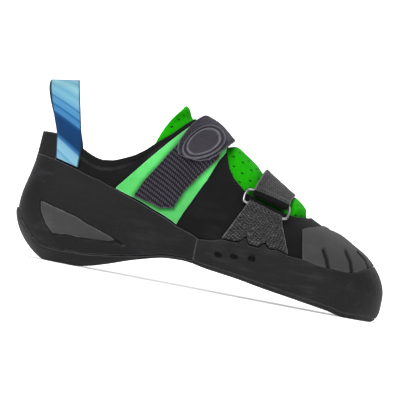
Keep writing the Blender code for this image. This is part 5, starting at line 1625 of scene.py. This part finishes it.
@dataclass
class MainStrap(Piece):
    """Broad strap over the instep with a rolled edge."""

    seam_inset: float = 0.0021

    def build(self) -> None:
        """Build the strap and sew its edges."""
        course = StrapCourse(self.last, MAIN_STRAP, MAIN_STRAP_INNER)
        tip = 1 - np.linspace(0, 1, 9)[1:-1] ** 2 * 0.012
        downs = np.unique(chain(np.linspace(-1.4, 0.988, 190), tip, [1.0]))
        shares = graded(np.full(downs.shape, 0.021), 34, 0.001)
        strap = Patch(self.last, *course.locate(downs[:, None], shares))
        climb = step((downs[:, None] + 0.7) / 0.8)
        low = CLEARANCE + (STRAP_LOW - CLEARANCE) * climb
        # The seam is sunk and darkened with painted shade.
        seam = bump(strap.edge - self.seam_inset, 0.0004)
        soft = 0.00016 * lumps(strap.flat, 0.018, 2.0)
        over = low + STRAP_THICKNESS + soft - 0.9 * rounding(strap.edge, 0.0009) - 0.00028 * seam
        made = strap.solid("instep_strap", over, low + 0.5 * rounding(strap.edge, 0.0006),
            {"deep": 0.35 * seam})
        self.settle(made, STRAP_WEAVE, "main_strap", "main_strap")
        for path, normals in edge_lines(strap, over + 0.0001, self.seam_inset):
            self.stitcher.sew(STRAP_THREAD, path, normals)


BADGE_LENGTH = 0.0262
BADGE_WIDTH = 0.0184
BADGE_THICKNESS = 0.0016
BADGE_CENTRE = (0.447, 0.797)
BADGE_TILT = 36.0
BADGE_PROFILE = columns(
    ("reach", "lift"),
    (0.0, 0.84), (0.68, 0.84), (0.72, 0.9), (0.76, 0.98), (0.8, 0.92), (0.835, 0.66), (0.86, 0.6),
    (0.885, 0.7), (0.915, 0.98), (0.955, 1.0), (0.985, 0.8), (1.0, 0.5),
)


@dataclass
class Badge(Piece):
    """Moulded oval with a raised rim and a bare raised face."""

    def build(self) -> None:
        """Build the badge."""
        angle = np.arange(144)[:, None] * 2 * math.pi / 144
        extra = [0.74, 0.78, 0.82, 0.87, 0.9]
        reach = np.unique(chain(np.linspace(0, 1, 40), BADGE_PROFILE["reach"], extra))
        tilt = math.radians(BADGE_TILT)
        far = np.cos(angle) * BADGE_LENGTH / 2
        near = np.sin(angle) * BADGE_WIDTH / 2
        sideways = (far * math.cos(tilt) - near * math.sin(tilt)) / LENGTH
        upward = (far * math.sin(tilt) + near * math.cos(tilt)) / INSTEP_HEIGHT
        spot = self.last.locate(BADGE_CENTRE[0] + sideways * reach, BADGE_CENTRE[1] + upward * reach, -1)
        badge = Patch(self.last, *spot, around=True)
        low = STRAP_LOW + STRAP_THICKNESS + CLEARANCE
        lift = smooth(reach, BADGE_PROFILE["reach"], BADGE_PROFILE["lift"]) * BADGE_THICKNESS
        # Painted shade in the groove between the rims; the face inside the inner rim is darkened too.
        groove = bump(reach - 0.86, 0.05) + 0.45 * (1 - step((reach - 0.68) / 0.06))
        rim = np.minimum(np.abs(reach - 1.0), np.abs(reach - 0.76)) * BADGE_WIDTH / 2
        fields = {"deep": np.broadcast_to(0.75 * groove, badge.turn.shape),
            "edge": np.broadcast_to(rim, badge.turn.shape) / MM}
        made = badge.solid("strap_badge", low + 0.0003 + lift, low, fields, 60.0)
        self.settle(made, BADGE_RUBBER, "badge", "badge")


def fold_line(layer: float, per_metre: float, first: float, last_back: float) -> Grids:
    """Middle line of a layer that goes under a bar at 1, round it and back over itself.

    Args:
        layer: its thickness.
        per_metre: how much of its run a metre is.
        first: where it starts.
        last_back: where it ends after the turn.
    Returns:
        How far along its run and how far off the form its points lie, evenly spaced.
    """
    near = BAR_OFFSET - RING_WIRE / 2 - CLEARANCE - layer
    around = RING_WIRE / 2 + CLEARANCE + layer / 2
    start_at = np.linspace(first, 1.0 - 0.4 * RING_WIRE * per_metre, 120)
    start = CLEARANCE + (near - CLEARANCE) * step((start_at - 0.5) / 0.3) + layer / 2
    angles = np.radians(np.linspace(-90, 90, 25))
    bend_at = 1.0 + around * np.cos(angles) * per_metre
    bend = BAR_OFFSET + around * np.sin(angles)
    over = near + layer + CLEARANCE + layer / 2
    back_at = np.linspace(1.0 - 0.3 * RING_WIRE * per_metre, last_back, 90)
    drop = step((1.0 - back_at) / (2.4 * RING_WIRE * per_metre))
    back = (BAR_OFFSET + around) * (1 - drop) + over * drop
    at = chain(start_at, bend_at, back_at)
    lift = chain(start, bend, back)
    reach = travelled(np.hypot(np.diff(at) / per_metre, np.diff(lift)))
    even = np.unique(chain(np.linspace(0, reach[-1], 220), reach[110:155]))
    return np.interp(even, reach, at), np.interp(even, reach, lift)


def both_faces(at: Array, lift: Array, half: Array, per_metre: float) -> list[Grids]:
    """The two faces of a layer around its middle line, each as along and lift.

    Args:
        at: how far along the middle line is, in shares of the run.
        lift: how far off the form it is.
        half: half the thickness, one column for each point across.
        per_metre: how much of its run a metre is.
    Returns:
        The outer face and the inner face.
    """
    way = unit(np.stack([np.gradient(at) / per_metre, np.gradient(lift)], axis=-1))
    across = np.stack([-way[:, 1] * per_metre, way[:, 0]], axis=-1)
    return [(at + sign * half * across[:, 0], lift + sign * half * across[:, 1]) for sign in (1.0, -1.0)]


def measure(patch: Patch, shares: Array, width: float, reach: Array) -> None:
    """Give a folded layer its own lengths in place of the form's."""
    shape = patch.place.shape
    patch.up_arc = np.broadcast_to(reach, shape)
    patch.along_arc = np.broadcast_to(shares[:, None] * width, shape)
    patch.edge = np.broadcast_to(np.minimum(shares, 1 - shares)[:, None] * width, shape)


@dataclass
class FrontStrap(Piece):
    """Strap over the tongue, through the ring and back on itself."""

    width: float = 0.0235
    back_rows: Pair = (0.0016, 0.0034)
    front_row: float = 0.0018

    def build(self) -> None:
        """Build the strap and sew its double rows."""
        per_metre = 0.5 / (INSTEP_HEIGHT * 0.103)
        at, lift = fold_line(WEB_THICKNESS, per_metre, -2.4, -0.6)
        lift = lift + 0.0001
        shares = graded(self.width, 24, 0.0006)[0]
        to_edge = np.minimum(shares, 1 - shares)[:, None] * self.width
        half = WEB_THICKNESS / 2 - 0.85 * rounding(to_edge, 0.0005)
        half = half + 0.00007 * np.sin(shares[:, None] * 22.0 + at * 3.0)
        course = StrapCourse(self.last, FRONT_STRAP, FRONT_STRAP_INNER)
        faces = both_faces(at, lift, half, per_metre)
        spots = [course.locate(face_at, shares[:, None]) for face_at, _ in faces]
        strap = Patch(self.last, *spots[0])
        measure(strap, shares, self.width, travelled(np.hypot(np.diff(at) / per_metre, np.diff(lift))))
        # The seams are sunk and darkened with painted shade.
        seam = sum(bump(to_edge - gap, 0.00028) for gap in self.back_rows) * (shares[:, None] < 0.5)
        seam = seam + bump(to_edge - self.front_row, 0.00028) * (shares[:, None] > 0.5)
        outer = self.last.skin(*spots[0], faces[0][1] - 0.00015 * seam)
        inner = self.last.skin(*spots[1], faces[1][1])
        # Painted shade: where the strap turns round the bar it is darkened almost to black.
        turned = step((at - 1.005) / 0.02) * np.ones_like(shares[:, None])
        made = strap.between("forefoot_strap", (outer, inner),
            {"deep": np.maximum(0.4 * seam, 0.97 * turned)}, 60.0)
        self.settle(made, FRONT_WEAVE, "front_strap", "front_strap")
        top = faces[0][1].max(axis=0)
        back = slice(int(np.argmax(at)) + 12, None)
        for inset in (*self.back_rows, self.width - self.front_row):
            spot = course.locate(at[back], inset / self.width)
            self.sew(FRONT_THREAD, spot, top[back] + 0.00005, 0.0022, 0.0015, 0.0002)


@dataclass
class Ring(Piece):
    """Flat loop of wire between the strap's fold and the tab's."""

    def path(self) -> Array:
        """Its line as (along, up), rounded at both ends."""
        upper = np.array(RING_TOP)
        lower = np.array(TAB_TOP)
        shares = np.linspace(-0.02, 1.02, 24)[:, None]
        ends = []
        for start, end, way in ((upper[1], lower[1], 1), (lower[0], upper[0], -1)):
            angle = np.radians(np.linspace(74, -74, 17))[:, None]
            out = way * RING_PAST * (1 + np.cos(angle)) / LENGTH
            ends.append(start + (end - start) * (1 - np.sin(angle)) / 2 + out * np.array([1.0, 0.0]))
        over = upper[0] + (upper[1] - upper[0]) * shares
        under = lower[1] + (lower[0] - lower[1]) * shares
        line = chain(over, ends[0], under, ends[1])
        for _ in range(3):
            line = 0.25 * np.roll(line, 1, axis=0) + 0.5 * line + 0.25 * np.roll(line, -1, axis=0)
        return line

    def build(self) -> None:
        """Build the ring."""
        line = self.path()
        place, turn = self.last.locate(line[:, 0], line[:, 1], -1)
        path = self.last.skin(place, turn, BAR_OFFSET)
        along = unit(np.roll(path, -1, axis=0) - np.roll(path, 1, axis=0))
        side = unit(np.cross(along, self.last.normal(place, turn)))
        up = np.cross(side, along)
        angle = (np.arange(16) * 2 * math.pi / 16)[None, :, None]
        round_wire = np.cos(angle) * side[:, None] + np.sin(angle) * up[:, None]
        rings = path[:, None] + RING_WIRE / 2 * round_wire
        count = rings.shape[0]
        index = np.arange(count * 16).reshape(count, 16)
        ahead = np.roll(index, -1, axis=0)
        faces = np.stack([index, ahead, np.roll(ahead, -1, axis=1), np.roll(index, -1, axis=1)], axis=-1)
        fields = {"edge": np.full(count * 16, 5.0)}
        made = make_object("wire_ring", rings.reshape(-1, 3), faces.reshape(-1, 4).tolist(), fields, 180.0)
        self.settle(made, RING_METAL, "ring", "ring")


@dataclass
class RingTab(Piece):
    """Looped knit folded over the ring's lower bar, its foot cut along the rand's peaks."""

    width: float = 0.036

    def locate(self, at: Array, across: Array) -> Grids:
        """Place and turn at a share of the run from foot to fold and a share across."""
        along = TAB_FOOT[0] + (TAB_FOOT[1] - TAB_FOOT[0]) * across
        foot = np.stack([along, lap(RAND_TOP, along) + 0.004], axis=-1)
        top = np.array(TAB_TOP[0]) * (1 - across[..., None]) + np.array(TAB_TOP[1]) * across[..., None]
        line = foot + (top - foot) * at[..., None]
        return self.last.locate(line[..., 0], line[..., 1], -1)

    def build(self) -> None:
        """Build the tab and sew its rows."""
        per_metre = 1 / ((TAB_TOP[0][1] - 0.24) * INSTEP_HEIGHT)
        at, lift = fold_line(TAB_LAYER, per_metre, 0.0, 0.02)
        shares = graded(self.width, 50, 0.0006)[0]
        to_edge = np.minimum(shares, 1 - shares)[:, None] * self.width
        half = TAB_LAYER / 2 - 0.85 * rounding(to_edge, 0.00042)
        grid_at, across = np.broadcast_arrays(at, shares[:, None])
        tab = Patch(self.last, *self.locate(grid_at, across))
        over = (np.arange(len(at)) > np.argmax(at))[None, :]
        loops = 0.00013 * lumps(tab.flat, 0.0026, 0.5) * over
        zigzag = bump(np.mod(grid_at * 3.4 + 0.25 * np.abs(np.mod(across * 8, 2) - 1), 1.0) - 0.5, 0.11)
        rows = (0.00018 * zigzag * over) * (to_edge > 0.003)
        faces = both_faces(at, lift, half, per_metre)
        sides = [
            self.last.skin(*self.locate(face_at, across), face_lift + more)
            for (face_at, face_lift), more in zip(faces, (loops + rows, 0.0))
        ]
        measure(tab, shares, self.width, travelled(np.hypot(np.diff(at) / per_metre, np.diff(lift))))
        # Painted shade between the knit's raised rows.
        made = tab.between("knit_tab", sides, {"deep": 0.25 * (1 - zigzag) * over}, 60.0)
        self.settle(made, TAB_KNIT, "ring_tab", "ring_tab")
        sizes = (0.0021, 0.0015, 0.00022)
        shown = slice(int(np.argmax(at)) + 12, -1)
        top = faces[0][1].max(axis=0)
        for inset in (0.045, 0.085, 0.915, 0.955):
            spot = self.locate(at[shown], np.full(at[shown].shape, inset))
            self.sew(TAB_THREAD, spot, top[shown] + 0.00012, *sizes)
        span = np.linspace(0.06, 0.94, 80)
        for height in (0.8, 0.22):
            lifted = np.interp(height, at[shown][::-1], top[shown][::-1]) + 0.00015
            self.sew(TAB_THREAD, self.locate(np.full(span.shape, height), span), lifted, *sizes)


@dataclass
class HeelTab(Piece):
    """Ribbed webbing between the heel cup and the collar."""

    rib: float = 0.0013

    def build(self) -> None:
        """Build the tab."""
        places, along = round_heel(self.last, 0.06, 90)
        low = edge(HEEL_CUP_TOP, along) - 0.01
        tab = belt(self.last, places, low, edge(COLLAR, along) - 0.004, 46, 0.0005)
        ribs = 0.5 + 0.5 * np.cos(tab.up_arc / self.rib * 2 * math.pi)
        offset = CLEARANCE + 0.001 + 0.00022 * ribs - 0.8 * rounding(tab.edge, 0.0004)
        # Painted shade in the grooves between the ribs.
        made = tab.solid("heel_webbing", offset, CLEARANCE, {"deep": 0.5 * (1 - ribs)})
        self.settle(made, RIB_WEBBING, "heel_tab", "heel_tab")


@dataclass
class PullLoop(Piece):
    """Webbing from one side of the heel to the other, standing above the collar."""

    width: float = 0.0165
    thickness: float = 0.0011
    height: float = 0.0367
    sway: float = 0.003
    spread: float = 0.02
    bow: float = 0.0013
    foot: Pair = (0.066, 0.131)
    top: tuple[Pair, Pair] = ((0.017, -0.079), (0.092, 0.0))

    def leg(self, share: float, side: int) -> Array:
        """One line of the loop from the heel cup up one side to its top."""
        last = self.last
        along = self.foot[0] + (self.foot[1] - self.foot[0]) * share
        top = np.array(self.top[0]) * (1 - share) + np.array(self.top[1]) * share
        start = float(lap(HEEL_CUP_TOP, along)) + 0.01
        rim = float(edge(COLLAR, along)) + 0.01
        ups = start + (rim - start) * np.linspace(0, 1, 30)
        backward = self.spread * (1 - share) * np.linspace(0.3, 1, 30)
        place = last.place_at(along - backward, side)
        wall = last.skin(place, last.turn_at(place, ups), CLEARANCE + 0.0003 + self.thickness / 2)
        heel_rim = last.base(np.array(0.0)) + COLLAR["up"][0] * INSTEP_HEIGHT
        peak_x = top[0] * LENGTH - last.shift[0]
        peak_z = float(heel_rim) + (1 + top[1]) * self.height
        angle = np.linspace(0, math.pi / 2, 60)[1:]
        rise = np.sin(angle) ** 0.85
        out = np.maximum(np.cos(angle), 0.0) ** 0.75
        lean = np.sin(angle) ** 0.85
        rim_point = wall[-1]
        middle = -last.shift[1]
        back = (self.sway if side > 0 else self.bow * (1 - share)) * np.sin(2 * angle)
        x = rim_point[0] + (peak_x - rim_point[0]) * lean - back
        y = middle + (rim_point[1] - middle) * out
        z = rim_point[2] + (peak_z - rim_point[2]) * rise
        return chain(wall, np.stack([x, y, z], axis=1))

    def build(self) -> None:
        """Build the loop."""
        shares = graded(self.width, 30, 0.0005)[0]
        lines = []
        for share in shares:
            line = chain(self.leg(float(share), -1), self.leg(float(share), 1)[-2::-1])
            reach = run_of(line)
            even = np.linspace(0, reach[-1], 200)
            lines.append(np.stack([np.interp(even, reach, line[:, i]) for i in range(3)], axis=1))
        grid = np.array(lines)
        for _ in range(4):
            grid[:, 1:-1] = 0.25 * grid[:, :-2] + 0.5 * grid[:, 1:-1] + 0.25 * grid[:, 2:]
        out = unit(np.cross(np.gradient(grid, axis=0), np.gradient(grid, axis=1)))
        to_edge = np.minimum(shares, 1 - shares)[:, None] * self.width
        half = (self.thickness / 2 - 0.85 * rounding(to_edge, 0.0005))[..., None]
        reach = run_of(grid, 1)
        size = reach.size
        index = np.arange(size).reshape(reach.shape)
        faces = [faces_of_grid(*reach.shape), faces_of_grid(*reach.shape, size, True)]
        faces += [rim_faces(line, size) for line in (index[:, 0], index[:, -1], index[0], index[-1])]
        across, gap = np.broadcast_arrays(shares[:, None] * self.width, to_edge, reach)[:2]
        cloth = np.stack([across, reach, 0 * reach], axis=-1).reshape(-1, 3) / MM
        # Painted shade: the loop's inner face is darkened all over.
        fields = {"cloth": np.tile(cloth, (2, 1)), "edge": np.tile(gap.ravel(), 2) / MM,
            "deep": np.repeat([0.0, 1.0], size)}
        points = chain((grid + out * half).reshape(-1, 3), (grid - out * half).reshape(-1, 3))
        made = make_object("pull_loop_webbing", points, np.concatenate(faces).tolist(), fields, 60.0)
        self.settle(made, LOOP_WEBBING, "pull_loop", "pull_loop")


@dataclass
class Lining(Piece):
    """Knit lining inside the upper, down to the footbed."""

    def build(self) -> None:
        """Build the lining."""
        places, along = whole_round(self.last, 200)
        closed, high = self.rim_turn(places, along, 0.022)
        shares = graded(np.full(places.shape, 0.06), 20, 0.0006)
        sheet = self.strip(places, -0.44, high[:, None], shares, closed)
        outer = -UPPER_WALL - 0.00002
        made = sheet.solid("inner_lining", outer, outer - 0.00022)
        self.settle(made, LINING, "upper")


@dataclass
class Seams(Piece):
    """Stitches that no single piece owns: collar, throat and the pad's edges."""

    def follow(self, line: Array, side: Side, offset: float) -> None:
        """Sew with dark thread along a line seen from the side."""
        self.sew(THREAD, self.last.locate(line[:, 0], line[:, 1], side.value), offset)

    def inset(self, table: Table, name: str, by: float, skip: int) -> Array:
        """A table's edge moved into its piece."""
        points = np.stack([table["along"], table[name]], axis=1)[skip : len(table["along"]) - skip]
        line = resample([tuple(p) for p in points], 120)
        way = unit(np.gradient(line * SCALE, axis=0))
        sign = 1.0 if name == "low" else -1.0
        return line + np.stack([-way[:, 1], way[:, 0]], axis=1) * sign * by / SCALE

    def build(self) -> None:
        """Sew all lines and make the thread objects."""
        for side in (Side.OUTER, Side.INNER):
            for first, end, inset in ((0.065, 0.385, 0.0052), (0.53, 0.77, 0.0022)):
                along = np.linspace(first, end, 150)
                line = np.stack([along, edge(COLLAR, along) - inset / INSTEP_HEIGHT], axis=1)
                self.follow(line, side, 0.00005)
        for name in ("low", "high"):
            self.follow(self.inset(PAD, name, 0.0017, 1), Side.OUTER, PAD_OFFSET + PAD_THICKNESS)
        for name, made in self.stitcher.objects().items():
            finish = next(f for f in FINISHES if f.name == name)
            self.settle(made, finish, THREAD_SLOTS[name])


@dataclass(frozen=True)
class BandedFinish(Finish):
    """Webbing woven with slanting bands of blue."""

    bands: tuple[tuple[float, Colour], ...] = (
        (0.0, (0.2, 0.5, 0.7)), (0.03, (0.26, 0.58, 0.76)), (0.05, (0.14, 0.42, 0.66)),
        (0.062, (0.3, 0.62, 0.8)), (0.115, (0.24, 0.54, 0.74)), (0.125, (0.05, 0.22, 0.5)),
        (0.15, (0.003, 0.048, 0.165)), (0.25, (0.003, 0.055, 0.185)), (0.27, (0.01, 0.095, 0.28)),
        (0.282, (0.075, 0.29, 0.6)), (0.31, (0.06, 0.26, 0.56)), (0.318, (0.012, 0.11, 0.3)),
        (0.326, (0.09, 0.33, 0.64)), (0.362, (0.11, 0.37, 0.65)), (0.37, (0.03, 0.18, 0.43)),
        (0.38, (0.16, 0.46, 0.68)), (0.42, (0.26, 0.6, 0.78)), (0.45, (0.18, 0.5, 0.7)),
        (0.49, (0.33, 0.7, 0.82)),
    )
    run: float = 116.0
    slant: float = -0.45

    def extra(self, tree: Tree, colour: Wire, height: Wire) -> tuple[Wire, Wire]:
        """Lay the bands under the weave's light and dark."""
        x, y, _ = add_node(tree, "SeparateXYZ", Vector=read(tree, "cloth", "Vector")).outputs
        slanted = calc(tree, "ADD", y, calc(tree, "MULTIPLY", x, -self.slant))
        folded = calc(tree, "PINGPONG", calc(tree, "MULTIPLY", slanted, 1 / self.run), 0.5)
        shaded = mix(tree, 1.0, ramp(tree, folded, *self.bands), colour, "MULTIPLY")
        rim = remap(tree, read(tree, "edge"), (0.5, 0.9), (0.85, 0.0))
        edged = mix(tree, rim, shaded, (0.01, 0.02, 0.05, 1))
        # Painted shade from the mesh's mask, such as the loop's inner face, darkened almost to black.
        return mix(tree, read(tree, "deep"), edged, (0.006, 0.008, 0.016, 1)), height


@dataclass(frozen=True)
class PerforatedFinish(Finish):
    """Padded knit with rows of small round holes."""

    hole_pitch: float = 7.6
    hole_radius: float = 0.1
    hole_colour: Colour = (0.002, 0.03, 0.001)

    def extra(self, tree: Tree, colour: Wire, height: Wire) -> tuple[Wire, Wire]:
        """Sink the holes and darken them with painted shade."""
        colour, height = super().extra(tree, colour, height)
        cloth = read(tree, "cloth", "Vector")
        cell = calc(tree, "MULTIPLY", cloth, (1 / self.hole_pitch,) * 3, kind="VectorMath", give="Vector")
        part = calc(tree, "FRACTION", cell, kind="VectorMath", give="Vector")
        away = calc(tree, "DISTANCE", part, (0.5, 0.5, 0.0), kind="VectorMath")
        hole = remap(tree, away, (0.75 * self.hole_radius, 1.3 * self.hole_radius), (1.0, 0.0))
        sunk = calc(tree, "ADD", height, calc(tree, "MULTIPLY", hole, -0.5))
        return mix(tree, hole, colour, (*self.hole_colour, 1)), sunk


LOOP_WEBBING = BandedFinish("banded webbing", (0.8, 0.8, 0.8), (1.0, 1.0, 1.0), (0.5, 0.5, 0.5),
    roughness=0.75, relief=0.00002, pitch=0.7, fuzz=0.3, weave_relief=0.00012, gap=0.3, rub_and_highlight=0.0,
    scuffs=0.0, sheen=0.15, specular=0.08)
TONGUE_KNIT = PerforatedFinish("green padded knit", (0.011, 0.42, 0.002), (0.03, 0.62, 0.004),
    (0.005, 0.24, 0.001), roughness=0.82, relief=0.00003, slow=80.0, pitch=0.7, weave_relief=0.00005,
    gap=0.15, rub_and_highlight=0.1, scuffs=0.0, specular=0.05)
STRAP_THREAD = Finish("strap thread", (0.045, 0.042, 0.055), (0.1, 0.095, 0.115), (0.02, 0.018, 0.024),
    **SEWN)
FRONT_THREAD = Finish("strap edge thread", (0.05, 0.049, 0.05), (0.11, 0.109, 0.11), (0.022, 0.022, 0.023),
    **SEWN)
TAB_THREAD = Finish("tab thread", (0.09, 0.09, 0.092), (0.19, 0.19, 0.192), (0.045, 0.045, 0.046),
    **SEWN)
THREAD_SLOTS = {
    THREAD.name: "upper",
    STRAP_THREAD.name: "main_strap",
    FRONT_THREAD.name: "front_strap",
    TAB_THREAD.name: "ring_tab",
}
FINISHES = (MICROFIBRE, LINING, FOOTBED, SOLE_RUBBER, CUP_RUBBER, RAND_RUBBER, WINDOW_RUBBER, PATCH_RUBBER,
    TONGUE_KNIT, WING_FABRIC, PAD_WEAVE, STRAP_WEAVE, BADGE_RUBBER, FRONT_WEAVE, TAB_KNIT, RING_METAL,
    RIB_WEBBING, LOOP_WEBBING, THREAD, STRAP_THREAD, FRONT_THREAD, TAB_THREAD)


@dataclass
class Studio:
    """Pale floor that curves up behind the shoe, soft lights and the camera at the photo's angle."""

    roll: float = 10.9
    aim_x: float = -0.0064
    aim_z: float = 0.058
    width: float = 0.2642
    distance: float = 4.0

    def build(self) -> None:
        """Build floor, lights, world and camera."""
        self.floor()
        self.light("key", (-0.45, -0.75, 1.15), (0.0, 0.0, 0.05), 0.8, 15.0)
        self.light("fill", (0.9, -0.8, 0.5), (0.0, 0.0, 0.04), 0.8, 3.0)
        self.light("back", (0.2, 0.8, 1.2), (0.0, 0.0, 0.04), 0.9, 7.0)
        world = bpy.data.worlds.new("studio")
        bpy.context.scene.world = world
        world.use_nodes = True
        backdrop = world.node_tree.nodes["Background"].inputs
        backdrop["Color"].default_value = (1.0, 1.0, 1.0, 1.0)
        backdrop["Strength"].default_value = 0.22
        camera = bpy.data.cameras.new("camera")
        camera.lens = 36.0 * self.distance / self.width
        camera.dof.use_dof = False
        camera.clip_end = 30.0
        made = linked("camera", camera)
        roll = math.radians(self.roll)
        right = Vector((math.cos(roll), 0.0, math.sin(roll)))
        up = Vector((-math.sin(roll), 0.0, math.cos(roll)))
        turn = Matrix((right, up, Vector((0.0, -1.0, 0.0)))).transposed()
        made.matrix_world = Matrix.Translation((self.aim_x, -self.distance, self.aim_z)) @ turn.to_4x4()
        bpy.context.scene.camera = made
        bpy.context.scene.view_settings.view_transform = "Standard"

    @staticmethod
    def floor() -> None:
        """Build the floor with its curve."""
        reach = [(-7.0, 0.0), (6.0, 0.0)]
        reach += [(6.0 + math.sin(a), 1.0 - math.cos(a)) for a in np.linspace(0, math.pi / 2, 24)[1:]]
        reach.append((7.0, 6.0))
        points = np.array([(x, y, z) for y, z in reach for x in (-7.0, 7.0)])
        mesh = bpy.data.meshes.new("floor")
        mesh.from_pydata(points.tolist(), [], faces_of_grid(len(reach), 2).tolist())
        mesh.shade_smooth()
        made = linked("floor", mesh)
        material = bpy.data.materials.new("floor")
        material.use_nodes = True
        tree = material.node_tree
        noise = add_node(tree, "TexNoise", Scale=30.0).outputs["Fac"]
        place = tree.nodes.new("ShaderNodeTexCoord").outputs["Object"]
        # Painted light: the floor and backdrop glow, weakly near the shoe and fully from 0.75 m away.
        glow = remap(tree, calc(tree, "LENGTH", place, kind="VectorMath"), (0.15, 0.75), (0.4, 0.95))
        given = {"Base Color": ramp(tree, noise, (0.3, (0.93, 0.93, 0.93)), (0.7, (0.95, 0.95, 0.95))),
            "Roughness": 0.9, "Emission Color": (1.0, 1.0, 1.0, 1.0),
            "Emission Strength": glow}
        for key, value in given.items():
            join(tree, value, tree.nodes["Principled BSDF"].inputs[key])
        mesh.materials.append(material)

    @staticmethod
    def light(name: str, place: Colour, aim: Colour, size: float, power: float) -> None:
        """Place a square area light."""
        data = bpy.data.lights.new(name, "AREA")
        data.energy = power
        data.size = size
        made = linked(name, data)
        made.location = place
        made.rotation_euler = (Vector(aim) - Vector(place)).to_track_quat("-Z", "Y").to_euler()


def shift_of_frame(frame: dict) -> Array:
    """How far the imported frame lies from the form's own origin."""
    low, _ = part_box("upper")
    node = frame["nodes"]["upper"]
    tip = max((node.matrix_world @ v.co for v in node.data.vertices), key=lambda p: p.x)
    return np.array([-low[0], TOE_TIP_ACROSS * BALL_WIDTH - tip.y, 0.0])


def main() -> None:
    """Build the shoe and its studio."""
    logging.basicConfig(level=logging.INFO, format="%(message)s")
    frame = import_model()
    last = Last(shift_of_frame(frame))
    log.info("shift %s", last.shift)
    effects = Effects.build()
    materials = {finish.name: finish.build(effects) for finish in FINISHES}
    stitcher = Stitcher()
    kinds = (UpperBody, Lining, Insole, Soles, HeelCup, Rand, ToePatch, Tongue, WingAndPad, MainStrap,
        Badge, FrontStrap, Ring, RingTab, HeelTab, PullLoop, Seams)
    for kind in kinds:
        kind(last, materials, stitcher).build()
    Studio().build()


if __name__ == "__main__":
    main()
